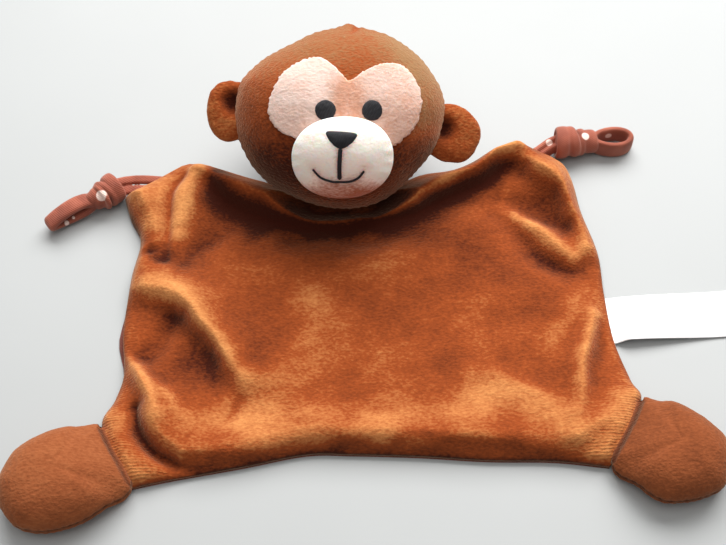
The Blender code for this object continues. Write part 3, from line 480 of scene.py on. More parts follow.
def weighted(tree, pairs):
    """The sum of each socket times its weight."""
    total = 0.0
    for socket, weight in pairs:
        total = calculate(tree, "MULTIPLY_ADD", socket, weight, total)
    return total


def rest_place(tree):
    return add(tree, "Attribute", attribute_name="rest_place").outputs["Vector"]


def vertex_value(tree, name):
    return add(tree, "Attribute", attribute_name=name).outputs["Fac"]


def noise_at(tree, place, size, detail=2.0, stretch=(1, 1, 1), distortion=0.0):
    """Noise with features of about this size in metres."""
    scaled = add(tree, "VectorMath", {0: place, 1: stretch}, operation="MULTIPLY").outputs["Vector"]
    inputs = {"Vector": scaled, "Scale": 1 / size, "Detail": detail, "Distortion": distortion}
    return add(tree, "TexNoise", inputs).outputs["Fac"]


def lines_at(tree, place, pitch, direction, wander):
    """Ridges this far apart across one axis, X, Y or Z."""
    scale = 1 / pitch / WAVES_PER_UNIT
    inputs = {"Vector": place, "Scale": scale, "Distortion": wander, "Detail": 2, "Detail Scale": 0.5}
    return add(tree, "TexWave", inputs, bands_direction=direction, wave_profile="SIN").outputs["Fac"]


def bump(tree, shader, height, distance, strength=1.0):
    made = add(tree, "Bump", {"Height": height, "Distance": distance, "Strength": strength})
    tree.links.new(made.outputs["Normal"], shader.inputs["Normal"])


def velour(name, colours, tint, patch=0.034, sheen=0.42, glow=0.0, grain=1.0):
    """Brushed pile: soft patches and fine flecks of colour, knit ribs that show, painted highlights on crests
    and painted shade in creases.
    """
    deep, main, light = colours
    material, tree, shader = blank_material(name)
    place = rest_place(tree)
    patches = noise_at(tree, place, patch, detail=2, distortion=0.4)
    strokes = noise_at(tree, place, 0.0050, detail=4, stretch=(0.45, 1.0, 1.0))
    flecks = noise_at(tree, place, 0.0011, detail=3, stretch=(0.6, 1.0, 1.0))
    ribs = lines_at(tree, place, 0.0013, "Y", 5.0)
    ribbed = calculate(tree, "MULTIPLY", ribs, vertex_value(tree, "ribbed"))
    # Each piece's own values: the pile's tone, with painted highlights on crests and painted shade in creases
    # and hollows
    crest = vertex_value(tree, "crest")
    tone = weighted(tree, [(patches, 0.42), (strokes, 0.22), (flecks, 0.46 * grain), (ribbed, 0.07),
                           (crest, 0.33)])
    tone = calculate(tree, "SUBTRACT", tone, 0.135 + 0.23 * (grain - 1), clamp=True)
    colour = mix_colours(tree, tone, [(0.04, deep), (0.47, main), (0.92, light)])
    tree.links.new(colour, shader.inputs["Base Color"])
    put(shader, {"Roughness": 0.92, "Specular IOR Level": 0.03, "Subsurface Weight": glow,
                 "Subsurface Radius": (1.0, 0.5, 0.35), "Subsurface Scale": 0.012,
                 "Sheen Weight": sheen, "Sheen Roughness": 0.42, "Sheen Tint": (*tint, 1)})
    relief = weighted(tree, [(flecks, 0.80), (strokes, 0.35), (ribbed, 0.26)])
    bump(tree, shader, relief, 0.0006 * grain, 0.9)
    return material


def jersey(name, colours):
    """Fine knit with pale printed dots."""
    deep, main, light = colours
    material, tree, shader = blank_material(name)
    place = rest_place(tree)
    patches = noise_at(tree, place, 0.009, detail=3)
    wales = lines_at(tree, place, 0.00075, "DIAGONAL", 0.8)
    flecks = noise_at(tree, place, 0.0004, detail=1)
    tone = weighted(tree, [(patches, 0.8), (wales, 0.14), (flecks, 0.2), (vertex_value(tree, "crest"), 0.3)])
    tone = calculate(tree, "SUBTRACT", tone, 0.10, clamp=True)
    cloth = mix_colours(tree, tone, [(0.15, deep), (0.5, main), (0.9, light)])
    dotted = 0.0
    for centre, radius in TIE_DOTS:
        away = add(tree, "VectorMath", {0: place, 1: centre}, operation="DISTANCE").outputs["Value"]
        rim = add(tree, "MapRange", {0: away, 1: radius * 1.08, 2: radius * 0.92}).outputs["Result"]
        dotted = calculate(tree, "MAXIMUM", rim, dotted)
    blended = add(tree, "Mix", {0: dotted, 6: cloth, 7: (*DOT_COLOUR, 1)}, data_type="RGBA")
    tree.links.new(blended.outputs[2], shader.inputs["Base Color"])
    put(shader, {"Roughness": 0.75, "Specular IOR Level": 0.25, "Sheen Weight": 0.35,
                 "Sheen Roughness": 0.5, "Sheen Tint": (*SHEEN_JERSEY, 1)})
    bump(tree, shader, weighted(tree, [(wales, 0.7), (flecks, 0.4)]), 0.0002, 0.8)
    return material


def thread(name, colour):
    """Satin stitch: a soft shine broken up by the thread's twist."""
    material, tree, shader = blank_material(name)
    place = rest_place(tree)
    twist = lines_at(tree, place, 0.0005, "DIAGONAL", 1.5)
    flecks = noise_at(tree, place, 0.0005, detail=2)
    lighter = [c * 3.5 for c in colour]
    tone = weighted(tree, [(twist, 0.4), (flecks, 0.6)])
    shade = mix_colours(tree, tone, [(0.35, colour), (0.85, lighter)])
    tree.links.new(shade, shader.inputs["Base Color"])
    put(shader, {"Roughness": 0.6, "Specular IOR Level": 0.22})
    bump(tree, shader, twist, 0.00012, 0.7)
    return material


def satin(name):
    """Woven satin ribbon."""
    material, tree, shader = blank_material(name)
    place = rest_place(tree)
    weft = lines_at(tree, place, 0.0006, "Y", 0.3)
    faint = noise_at(tree, place, 0.008, detail=2)
    grey = [c * 0.93 for c in SATIN_COLOUR]
    tone = weighted(tree, [(weft, 0.3), (faint, 0.7)])
    shade = mix_colours(tree, tone, [(0.3, grey), (0.7, SATIN_COLOUR)])
    tree.links.new(shade, shader.inputs["Base Color"])
    put(shader, {"Roughness": 0.38})
    bump(tree, shader, weft, 0.00008, 0.5)
    return material


# ---------------------------------------------------------------- shapes


def smooth_curve(points, count, closed=False):
    """`count` points spaced evenly along a smooth curve through the given points."""
    given = np.array(points, float)
    if closed:
        held = np.vstack([given[-1:], given, given[:2]])
    else:
        held = np.vstack([2 * given[:1] - given[1:2], given, 2 * given[-1:] - given[-2:-1]])
    t = (np.arange(12) / 12)[:, None]
    fine = []
    for p0, p1, p2, p3 in zip(held, held[1:], held[2:], held[3:]):
        fine.append(0.5 * (2 * p1 + (p2 - p0) * t + (2 * p0 - 5 * p1 + 4 * p2 - p3) * t**2
                           + (3 * p1 - p0 - 3 * p2 + p3) * t**3))
    fine.append(given[:1] if closed else given[-1:])
    fine = np.vstack(fine)
    steps = np.linalg.norm(np.diff(fine, axis=0), axis=1)
    travelled = np.concatenate([[0], np.cumsum(steps)])
    targets = np.linspace(0, travelled[-1], count, endpoint=not closed)
    return np.stack([np.interp(targets, travelled, column) for column in fine.T], axis=1)


def smooth_step(value):
    value = np.clip(value, 0, 1)
    return value * value * (3 - 2 * value)


def bell(distance, width):
    """1 at no distance, and close to 0 from two widths on."""
    return np.exp(-(distance / width) ** 2)


def unit(vectors, least=1e-6):
    """The same directions at length 1; a vector shorter than `least` stays short."""
    return vectors / np.maximum(np.linalg.norm(vectors, axis=1), least)[:, None]


def full_turn(count):
    """Angles spread evenly round a circle."""
    return math.tau * np.arange(count) / count


def noise(points, size, seed=0):
    """Smooth noise from -1 to 1 with features of about this size, the same each time."""
    scaled = points / size + 17.37 * (seed + 1)
    cell = np.floor(scaled)
    part = scaled - cell
    cell = cell.astype(np.int64)
    fade = part * part * (3 - 2 * part)
    total = 0.0
    for corner in np.ndindex((2,) * points.shape[-1]):
        corner = np.array(corner)
        spot = cell + corner
        key = spot[..., 0] * 73856093 ^ spot[..., 1] * 19349663
        if points.shape[-1] == 3:
            key = key ^ spot[..., 2] * 83492791
        key = (key ^ (key >> 13)) * 1274126177 & 0xFFFFFFFF
        value = ((key ^ (key >> 15)) & 0xFFFF) / 32767.5 - 1
        total = total + np.prod(np.where(corner, fade, 1 - fade), axis=-1) * value
    return total


def swell(points, layers, seed=0):
    """The sum of several sizes of bump, each given as its size and height."""
    return sum(height * noise(points, size, seed + k) for k, (size, height) in enumerate(layers))


def near_route(places, route):
    """For each place: its distance from a route, its side of it from -1 to 1, and how far along, 0 to 1."""
    route = np.array(route, float)
    lengths = np.linalg.norm(np.diff(route, axis=0), axis=1)
    before = np.concatenate([[0], np.cumsum(lengths)])
    best = np.full(places.shape[:-1], np.inf)
    side = np.zeros(best.shape)
    along = np.zeros(best.shape)
    for k, (a, b) in enumerate(zip(route, route[1:])):
        run = (b - a) / lengths[k]
        away = places - a
        share = np.clip(away @ run / lengths[k], 0, 1)
        gap = away - share[..., None] * (b - a)
        distance = np.hypot(gap[..., 0], gap[..., 1])
        closer = distance < best
        lean = (run[0] * gap[..., 1] - run[1] * gap[..., 0]) / np.maximum(distance, 1e-9)
        best = np.where(closer, distance, best)
        side = np.where(closer, lean, side)
        along = np.where(closer, (before[k] + share * lengths[k]) / before[-1], along)
    return best, side, along


def new_piece(name, points, faces, material, **values):
    """A closed mesh object with outward faces, its rest places, and any other value per point."""
    mesh = bpy.data.meshes.new(name)
    mesh.from_pydata(np.asarray(points).tolist(), [], [tuple(face) for face in faces])
    form = bmesh.new()
    form.from_mesh(mesh)
    bmesh.ops.recalc_face_normals(form, faces=form.faces)
    form.to_mesh(mesh)
    form.free()
    mesh.shade_smooth()
    mesh.materials.append(material)
    places = mesh.attributes.new("rest_place", "FLOAT_VECTOR", "POINT")
    places.data.foreach_set("vector", np.asarray(points, np.float32).ravel())
    for key, value in values.items():
        attribute = mesh.attributes.new(key, "FLOAT", "POINT")
        spread = np.broadcast_to(np.asarray(value, np.float32), len(points))
        attribute.data.foreach_set("value", np.ascontiguousarray(spread))
    obj = bpy.data.objects.new(name, mesh)
    bpy.context.scene.collection.objects.link(obj)
    return obj


def ball(level):
    """Unit directions spread evenly over a sphere, and the triangles between them."""
    form = bmesh.new()
    bmesh.ops.create_icosphere(form, subdivisions=level, radius=1)
    directions = np.array([v.co for v in form.verts])
    faces = [[v.index for v in f.verts] for f in form.faces]
    form.free()
    return unit(directions), faces


def point_normals(points, faces):
    """Unit normals of a mesh of triangles at its points."""
    corners = points[np.array(faces)]
    across = np.cross(corners[:, 1] - corners[:, 0], corners[:, 2] - corners[:, 0])
    total = np.zeros(points.shape)
    for k in range(3):
        np.add.at(total, np.array(faces)[:, k], across)
    return unit(total, 1e-12)


def reach_of(outline, angles):
    """Distance from the origin to a closed outline round it, at each angle."""
    around = np.arctan2(outline[:, 1], outline[:, 0])
    order = np.argsort(around)
    return np.interp(angles, around[order], np.linalg.norm(outline, axis=1)[order], period=math.tau)


def flat_ball(level, outline, middle):
    """A ball squeezed into a flat outline: plan places, share of the way out, side 1 or -1, and triangles."""
    directions, faces = ball(level)
    share = np.sqrt(1 - np.abs(directions[:, 2]))
    angle = np.arctan2(directions[:, 1], directions[:, 0])
    reach = reach_of(outline - middle, angle)
    places = middle + (share * reach)[:, None] * np.stack([np.cos(angle), np.sin(angle)], axis=1)
    return places, share, np.where(directions[:, 2] >= 0, 1, -1), faces


def tube_faces(total, count, closed):
    """Faces of a tube of rings with `count` points each; an open one gets a cap at each end."""
    faces = []
    for i in range(total if closed else total - 1):
        here, beyond = i * count, (i + 1) % total * count
        for k in range(count):
            after = (k + 1) % count
            faces.append((here + k, here + after, beyond + after, beyond + k))
    if not closed:
        faces.append(tuple(range(count)))
        faces.append(tuple(range((total - 1) * count, total * count)))
    return faces


def sweep(path, wide, width, thickness, closed, count=20, squareness=0.6):
    """Points and faces of a soft strap along a path; `wide` is the direction that its width lies in."""
    path = np.asarray(path)
    wide = np.broadcast_to(wide, path.shape)
    ahead = np.roll(path, -1, axis=0) - np.roll(path, 1, axis=0)
    if not closed:
        ahead[0] = path[1] - path[0]
        ahead[-1] = path[-1] - path[-2]
    ahead = unit(ahead)
    wide = unit(wide - np.sum(wide * ahead, axis=1)[:, None] * ahead)
    thick = np.cross(ahead, wide)
    turn = full_turn(count)
    a = np.sign(np.cos(turn)) * np.abs(np.cos(turn)) ** squareness * width / 2
    b = np.sign(np.sin(turn)) * np.abs(np.sin(turn)) ** squareness * thickness / 2
    points = path[:, None] + a[None, :, None] * wide[:, None] + b[None, :, None] * thick[:, None]
    return points.reshape(-1, 3), tube_faces(len(path), count, closed)


def joined(parts):
    """One set of points and faces from several."""
    points, faces, start = [], [], 0
    for part_points, part_faces in parts:
        points.append(part_points)
        faces += [tuple(start + k for k in face) for face in part_faces]
        start += len(part_points)
    return np.vstack(points), faces


def fused(parts, voxel, smoothing):
    """Points and faces of one skin over several closed shapes, with the creases between them softened."""
    points, faces = joined(parts)
    mesh = bpy.data.meshes.new("fused")
    mesh.from_pydata(points.tolist(), [], faces)
    obj = bpy.data.objects.new("fused", mesh)
    bpy.context.scene.collection.objects.link(obj)
    remesh = obj.modifiers.new("remesh", "REMESH")
    remesh.mode = "VOXEL"
    remesh.voxel_size = voxel
    smooth = obj.modifiers.new("smooth", "SMOOTH")
    smooth.factor = 0.5
    smooth.iterations = smoothing
    final = obj.evaluated_get(bpy.context.evaluated_depsgraph_get()).to_mesh()
    points = np.array([v.co for v in final.vertices])
    faces = [tuple(p.vertices) for p in final.polygons]
    bpy.data.objects.remove(obj)
    return points, faces


def tree_of(obj):
    """A tree for casting rays at a finished piece."""
    mesh = obj.data
    return BVHTree.FromPolygons([v.co for v in mesh.vertices], [p.vertices for p in mesh.polygons])


# ---------------------------------------------------------------- cloth


def crowded(count):
    """Shares from 0 to 1, closer together at both ends."""
    t = np.linspace(0, 1, count)
    return t - EDGE_CROWDING * np.sin(math.tau * t) / math.tau


def along_side(points, shares):
    """Points of a side of the cloth at these shares of its length."""
    fine = smooth_curve(points, 800)
    return np.stack([np.interp(shares, np.linspace(0, 1, 800), column) for column in fine.T], axis=1)


def cloth_plan(rows, columns):
    """Plan places of the cloth, a Coons patch between its four sides, rows from the bottom up."""
    u, v = crowded(columns + 1), crowded(rows + 1)
    bottom, top = along_side(CLOTH_BOTTOM, u)[None], along_side(CLOTH_TOP, u)[None]
    left, right = along_side(CLOTH_LEFT, v)[:, None], along_side(CLOTH_RIGHT, v)[:, None]
    u, v = u[None, :, None], v[:, None, None]
    sides = (1 - v) * bottom + v * top + (1 - u) * left + u * right
    corners = ((1 - u) * (1 - v) * bottom[:, :1] + u * (1 - v) * bottom[:, -1:]
               + (1 - u) * v * top[:, :1] + u * v * top[:, -1:])
    return sides - corners


def fold_height(places):
    """Height that the folds add to the cloth."""
    flat = places.reshape(-1, 2)
    drift = np.stack([noise(flat, 0.018, 5), noise(flat, 0.018, 9)], axis=1)
    flat = flat + FOLD_WANDER * drift
    total = np.zeros(len(flat))
    for fold in FOLDS:
        route = smooth_curve(fold.route, 10) if len(fold.route) > 2 else fold.route
        distance, side, along = near_route(flat, route)
        width = fold.right + (fold.left - fold.right) * (side + 1) / 2
        fade = 0.5 + 0.5 * np.sin(math.pi * np.clip(along, 0.04, 0.96))
        total += fold.height * fade * np.exp(-(distance / width) ** 1.7)
    return total.reshape(places.shape[:-1])


def split_side(side):
    """The ankle seam and the free edge of one side of the cloth, which meet at the side's second point."""
    fine = smooth_curve(side, 90)
    corner = np.argmin(np.linalg.norm(fine - side[1], axis=1))
    return fine[:corner + 1:4], fine[corner:]


def brushing_and_painted_light(places):
    """Lightness of the pile at each plan place, from its brushing and from painted light and shade."""
    flat = places.reshape(-1, 2)
    drift = np.stack([noise(flat, 0.014, 11), noise(flat, 0.014, 12)], axis=1)
    flat = flat + BRUSH_WANDER * drift
    total = np.zeros(len(flat))
    for stroke in BRUSHED_AND_PAINTED_LIGHT:
        route = smooth_curve(stroke.route, 10) if len(stroke.route) > 2 else stroke.route
        distance = near_route(flat, route)[0]
        total += stroke.tone * bell(distance, stroke.width)
    return total.reshape(places.shape[:-1])


def cloth_inset(places):
    """Distance in from the cloth's free edges; the ankle seams don't count."""
    edges = [smooth_curve(CLOTH_BOTTOM, 50), smooth_curve(CLOTH_TOP, 50),
             split_side(CLOTH_LEFT)[1], split_side(CLOTH_RIGHT)[1]]
    return np.min([near_route(places, edge)[0] for edge in edges], axis=0)


def head_underside(places):
    """Height of the head's lower skin over each plan place, and a great height beside the head."""
    shape = HEAD_AXES.T @ np.diag([HEAD_HALF_WIDTH**-2, HEAD_HALF_HEIGHT**-2, HEAD_BACK**-2]) @ HEAD_AXES
    base = np.concatenate([places, np.zeros((*places.shape[:-1], 1))], axis=-1) - HEAD_CENTRE
    a = shape[2, 2]
    b = 2 * base @ shape[2]
    c = np.einsum("...i,ij,...j->...", base, shape, base) - 1
    inside = b * b - 4 * a * c
    return np.where(inside > 0, (-b - np.sqrt(np.maximum(inside, 0))) / (2 * a), 1.0)


def blurred(grid, passes):
    """The grid with each point drawn towards its neighbours, many times."""
    for _ in range(passes):
        held = np.pad(grid, 1, mode="edge")
        grid = (held[:-2, 1:-1] + held[2:, 1:-1] + held[1:-1, :-2] + held[1:-1, 2:] + 4 * grid) / 8
    return grid


def ankle_distance(places):
    return np.min([near_route(places, split_side(side)[0])[0] for side in (CLOTH_LEFT, CLOTH_RIGHT)], axis=0)


def cloth_heights(places):
    """Height of the front panel's pile at each plan place."""
    inset = cloth_inset(places)
    roll = np.sqrt(1 - (1 - np.clip(inset / HEM_RADIUS, 0, 1)) ** 2)
    lowest = PANEL_BOTTOM + 0.0004 + (CLOTH_LOWEST - PANEL_BOTTOM - 0.0004) * roll
    shoulder = smooth_step((places[..., 1] - TOP_PUFF_FROM) / 0.020)
    shoulder = shoulder * smooth_step((np.abs(places[..., 0]) - 0.045) / 0.030)
    puff = (CLOTH_PUFF * (1 - np.exp(-inset / PUFF_REACH)) + TOP_PUFF * shoulder) * roll
    share = roll * (EDGE_FOLD_SHARE + (1 - EDGE_FOLD_SHARE) * smooth_step(inset / FOLD_REACH))
    soft = np.stack([places[..., 0], places[..., 1]], axis=-1).reshape(-1, 2)
    small = swell(soft, CLOTH_SWELLS, 21).reshape(inset.shape)
    from_ankle = ankle_distance(places)
    ankle = (ANKLE_RISE * bell(from_ankle, ANKLE_SPREAD)
             - ANKLE_GROOVE * bell(from_ankle, ANKLE_GROOVE_WIDTH))
    height = lowest + puff + share * (fold_height(places) + small) + roll * ankle
    height = np.minimum(height, head_underside(places) - HEAD_CLEARANCE)
    left = (NECK_CENTRE[0] - NECK_RING_HALF[0], NECK_CENTRE[1])
    right = (NECK_CENTRE[0] + NECK_RING_HALF[0], NECK_CENTRE[1])
    from_neck = near_route(places, [left, right])[0]
    pressed = CLOTH_LOWEST + NECK_RISE * np.maximum(from_neck - NECK_PRESSED, 0)
    above = np.minimum(height, pressed) - lowest
    return lowest + FOLD_FLOOR * np.logaddexp(0, above / FOLD_FLOOR), inset


def grid_quads(rows, columns, start=0):
    """Faces of a grid of points, and its border as a ring of point numbers."""
    index = start + np.arange((rows + 1) * (columns + 1)).reshape(rows + 1, columns + 1)
    quads = np.stack([index[:-1, :-1], index[:-1, 1:], index[1:, 1:], index[1:, :-1]], axis=-1).reshape(-1, 4)
    border = [*index[0], *index[1:, -1], *index[-1, -2::-1], *index[-2:0:-1, 0]]
    return quads.tolist(), border


def walls_between(top, low):
    """Faces between two rings of point numbers of the same length."""
    walls = []
    for k in range(len(top)):
        after = (k + 1) % len(top)
        walls.append((top[k], top[after], low[after], low[k]))
    return walls


def make_cloth(material):
    """The front panel: a fine upper side in its folds, and a lower side of half as many rows."""
    plan = cloth_plan(CLOTH_ROWS, CLOTH_COLUMNS)
    height, inset = cloth_heights(plan)
    upper = np.concatenate([plan, height[..., None]], axis=-1)
    lower = upper[::2, ::2].copy()
    lower[..., 2] = np.maximum(lower[..., 2] - FRONT_THICKNESS, PANEL_BOTTOM)
    # Painted highlights on the crests of the folds and painted shade in their creases, on top of the pile's
    # brushing and its painted light and shade; lighter near the ankle seams
    near, broad = height - blurred(height, 50), height - blurred(height, 260)
    crest = np.clip(0.45 * near / 0.0010 + 0.55 * broad / 0.0028 + brushing_and_painted_light(plan), *CLOTH_LIGHT_AND_SHADE_LIMITS)
    bend = np.clip(np.abs(near) / 0.0018, 0, 1)
    near_ankle = bell(ankle_distance(plan), 0.016)
    crest = np.clip(crest + 0.55 * near_ankle, *CLOTH_LIGHT_AND_SHADE_LIMITS)
    hem = bell(inset - 0.003, 0.004)
    zones = 0.5 + 0.5 * noise(plan.reshape(-1, 2), 0.020, 3).reshape(inset.shape)
    ribbed = np.clip(0.9 * near_ankle + 0.5 * hem * zones + 0.12 * bend * zones, 0, 1)
    points = np.vstack([upper.reshape(-1, 3), lower.reshape(-1, 3)])
    top_faces, top_border = grid_quads(CLOTH_ROWS, CLOTH_COLUMNS)
    start = upper.size // 3
    low_faces, low_border = grid_quads(CLOTH_ROWS // 2, CLOTH_COLUMNS // 2, start)
    faces = top_faces + low_faces
    for k, low in enumerate(low_border):
        a, b, c = (top_border[(2 * k + step) % len(top_border)] for step in range(3))
        faces.append((a, b, c, low_border[(k + 1) % len(low_border)], low))
    values = {}
    for key, grid in (("crest", crest), ("ribbed", ribbed)):
        values[key] = np.concatenate([grid.ravel(), grid[::2, ::2].ravel()])
    cloth = new_piece("cloth_front", points, faces, material, **values)
    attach(cloth, "body")
    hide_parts("body_front")
    return cloth


def make_back(material):
    """The back panel: a thin jersey sheet, flat on the table, that shows past the front at the left edge."""
    rows, columns = BACK_GRID
    plan = cloth_plan(rows, columns)
    spill = BACK_SPILL * bell(plan[..., 1] + 0.010, 0.012)
    spill = spill * smooth_step((-plan[..., 0] - 0.09) / 0.02)
    plan = plan - np.stack([spill, np.zeros_like(spill)], axis=-1)
    points, faces = [], []
    for height, start in ((BACK_THICKNESS, 0), (0.0, (rows + 1) * (columns + 1))):
        level = np.full((*plan.shape[:-1], 1), height)
        points.append(np.concatenate([plan, level], axis=-1).reshape(-1, 3))
        faces.append(grid_quads(rows, columns, start))
    faces = faces[0][0] + faces[1][0] + walls_between(faces[0][1], faces[1][1])
    back = new_piece("cloth_back", np.vstack(points), faces, material, crest=0.0)
    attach(back, "body")
    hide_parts("body_back")
    return back


def make_label(material):
    """A blank satin label that lifts in a low wave off the table."""
    along = np.array((math.cos(LABEL_TURN), math.sin(LABEL_TURN), 0))
    across = np.array((-along[1], along[0], 0))
    columns, rows = LABEL_STEPS
    u = np.linspace(0, 1, columns + 1)[None, :, None]
    v = np.linspace(-0.5, 0.5, rows + 1)[:, None, None]
    base = np.array((*LABEL_START, LABEL_HEIGHT)) + u * LABEL_LENGTH * along + v * LABEL_WIDTH * across
    wave = LABEL_WAVE * (0.5 - 0.5 * np.cos(math.tau * u * 1.3)) * (0.7 + 0.6 * v) * smooth_step(u / 0.2)
    tuck = LABEL_TUCK * (1 - smooth_step(u * LABEL_LENGTH / 0.006))
    from_seam = u * LABEL_LENGTH
    lift = LABEL_LIFT * (0.6 - 0.8 * v) * smooth_step((from_seam - LABEL_LIFT_FROM) / LABEL_LIFT_RUN)
    lift = lift * (1 - smooth_step(from_seam / LABEL_LIFT_LENGTH))
    low = base + (wave + tuck + lift) * np.array((0, 0, 1))
    high = low + np.array((0, 0, LABEL_THICKNESS))
    top_faces, top_border = grid_quads(rows, columns)
    low_faces, low_border = grid_quads(rows, columns, high.size // 3)
    faces = top_faces + low_faces + walls_between(top_border, low_border)
    points = np.vstack([high.reshape(-1, 3), low.reshape(-1, 3)])
    label = new_piece("care_label_ribbon", points, faces, material)
    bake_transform(label)
    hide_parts("care_label")
    return label


# ---------------------------------------------------------------- stuffing


def stuffed(points, level, held=None, swollen=FILL_CAP):
    """Points of a ball-shaped piece after a cloth simulation has filled it out, each kept near its start.

    The simulation runs on the coarser ball of FILL_LEVEL, from a shape that is a little smaller. `held` is
    the share of its movement that a point loses, as along a seam or on the table.
    """
    coarse_directions, coarse_faces = ball(FILL_LEVEL)
    directions = ball(level)[0]
    count = len(coarse_directions)
    spread = KDTree(len(directions))
    for k, direction in enumerate(directions):
        spread.insert(direction, k)
    spread.balance()
    own = [spread.find(direction)[1] for direction in coarse_directions]
    core = points.mean(axis=0)
    smaller = core + (points[own] - core) * FILL_START
    mesh = bpy.data.meshes.new("shell")
    mesh.from_pydata(smaller.tolist(), [], coarse_faces)
    shell = bpy.data.objects.new("shell", mesh)
    bpy.context.scene.collection.objects.link(shell)
    filling = shell.modifiers.new("filling", "CLOTH")
    filling.settings.use_pressure = True
    filling.settings.uniform_pressure_force = FILL_PRESSURE
    filling.settings.effector_weights.gravity = 0
    filling.settings.quality = FILL_QUALITY
    filling.collision_settings.use_collision = False
    filling.collision_settings.use_self_collision = False
    filling.point_cache.frame_end = FILL_FRAMES
    for frame in range(1, FILL_FRAMES + 1):
        bpy.context.scene.frame_set(frame)
    final = shell.evaluated_get(bpy.context.evaluated_depsgraph_get()).data
    filled = np.array([v.co for v in final.vertices])
    bpy.data.objects.remove(shell)
    bpy.context.scene.frame_set(1)
    moved = filled - points[own]
    length = np.linalg.norm(moved, axis=1)
    moved *= np.minimum(1, swollen / np.maximum(length, 1e-9))[:, None]
    if held is not None:
        moved *= 1 - held[own][:, None]
    near = KDTree(count)
    for k, direction in enumerate(coarse_directions):
        near.insert(direction, k)
    near.balance()
    result = points.copy()
    for k, direction in enumerate(directions):
        found = near.find_n(direction, FILL_NEIGHBOURS)
        weights = np.array([math.exp(-(distance / FILL_BLUR) ** 2) for _, _, distance in found])
        result[k] += weights @ moved[[index for _, index, _ in found]] / weights.sum()
    return result


# ---------------------------------------------------------------- head


def cloth_edge_y(x):
    """Where the cloth's top edge lies at each x."""
    edge = smooth_curve(CLOTH_TOP, 60)
    return np.interp(x, edge[:, 0], edge[:, 1])


def seam_groove(distance, run, depth=0.0009, width=0.0011, pucker=0.0005):
    """How far the skin sinks beside a seam: a groove, and small puckers that run off it."""
    groove = depth * bell(distance, width)
    waves = 0.5 + 0.5 * np.sin(math.tau * run / 0.0042 + 2.0 * np.sin(run / 0.006))
    return groove + pucker * waves * bell(distance, 3.2 * width)


def make_head(material):
    """The stuffed head: panels that meet at a seam from ear to ear over the crown, and at a back seam."""
    directions, faces = ball(BALL_LEVEL)
    side, up, out = directions.T
    reach = np.where(out > 0, HEAD_FRONT, HEAD_BACK)
    flat = np.stack([side * HEAD_HALF_WIDTH, up * HEAD_HALF_HEIGHT], axis=1)
    angle = np.arctan2(flat[:, 1], flat[:, 0])
    oval = 1 / np.hypot(np.cos(angle) / HEAD_HALF_WIDTH, np.sin(angle) / HEAD_HALF_HEIGHT)
    flat = flat * (reach_of(smooth_curve(HEAD_OUTLINE, 200, closed=True), angle) / oval)[:, None]
    from_tip = np.arccos(np.clip(directions @ np.array(CROWN_TIP), -1, 1))
    peak = CROWN_PEAK * np.exp(-from_tip / CROWN_PEAK_SPREAD)
    local = np.stack([flat[:, 0], flat[:, 1] + peak, out * reach], axis=1)
    points = HEAD_CENTRE + local @ HEAD_AXES
    normals = point_normals(points, faces)
    turn = np.arctan2(up, side)
    ring_seam = seam_groove(np.abs(local[:, 2]), turn * 0.048)
    back_run = np.arctan2(out, up) * 0.043
    back_seam = np.where(out < 0, seam_groove(np.abs(local[:, 0]), back_run), 0.0)
    dart_place = np.hypot(local[:, 0] - 0.0105 + 0.25 * local[:, 2], (local[:, 2] - 0.006) * 0.30)
    dart = np.where(up > 0, CROWN_DART * bell(dart_place, 0.0018), 0.0)
    sink = np.maximum(ring_seam, back_seam) + dart
    lumps = swell(points, HEAD_SWELLS, 31)
    on_back_seam = np.where(out < 0, bell(local[:, 0], 0.005), 0)
    on_seam = np.maximum(bell(local[:, 2], 0.005), on_back_seam)
    points = stuffed(points, BALL_LEVEL, SEAM_TIGHTNESS * on_seam)
    points = points + (lumps - sink)[:, None] * normals
    floor = NECK_REST * smooth_step((cloth_edge_y(points[:, 0]) + NECK_STEP - points[:, 1]) / NECK_STEP)
    points[:, 2] = np.maximum(points[:, 2], floor)
    # Painted light at the top and on the right; painted shade below, at the lower left, and in the seams'
    # grooves and the dart
    shade = 0.85 * smooth_step((up - 0.1) / 0.7) - 0.85 * smooth_step((0.25 - up) / 0.9)
    shade += 1.15 * smooth_step((side - 0.2) / 0.6) * smooth_step((up + 0.5) / 0.5)
    shade -= 0.45 * smooth_step((-side - 0.1) / 0.6) * smooth_step((-up - 0.1) / 0.6)
    crest = np.clip(-sink / 0.0009, -1, 0) * 0.6 + shade
    head = new_piece("head_stuffed", points, faces, material, crest=crest, ribbed=0.08)
    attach(head, "head")
    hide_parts("head_front", "head_back_left", "head_back_right", "head_stuffing")
    return head


def on_skin(tree, places, distance=0.08):
    """Where rays along the head's OUT axis meet a piece, for places in the face's side and up directions."""
    origins = HEAD_CENTRE + places[:, :1] * SIDE + places[:, 1:] * UP + distance * OUT
    ray = Vector(-OUT)
    found = []
    for origin in origins:
        hit = tree.ray_cast(Vector(origin), ray)[0]
        found.append(hit if hit is not None else origin - distance * OUT)
    return np.array(found)


def skin_normals(places):
    """Smooth outward directions of the head's front at these places on the face."""
    side, up = places[:, 0], places[:, 1]
    room = np.clip(1 - (side / HEAD_HALF_WIDTH) ** 2 - (up / HEAD_HALF_HEIGHT) ** 2, 0, 1)
    out = HEAD_FRONT * np.sqrt(room)
    slope = np.stack([side / HEAD_HALF_WIDTH**2, up / HEAD_HALF_HEIGHT**2, out / HEAD_FRONT**2], axis=1)
    return unit(slope) @ HEAD_AXES


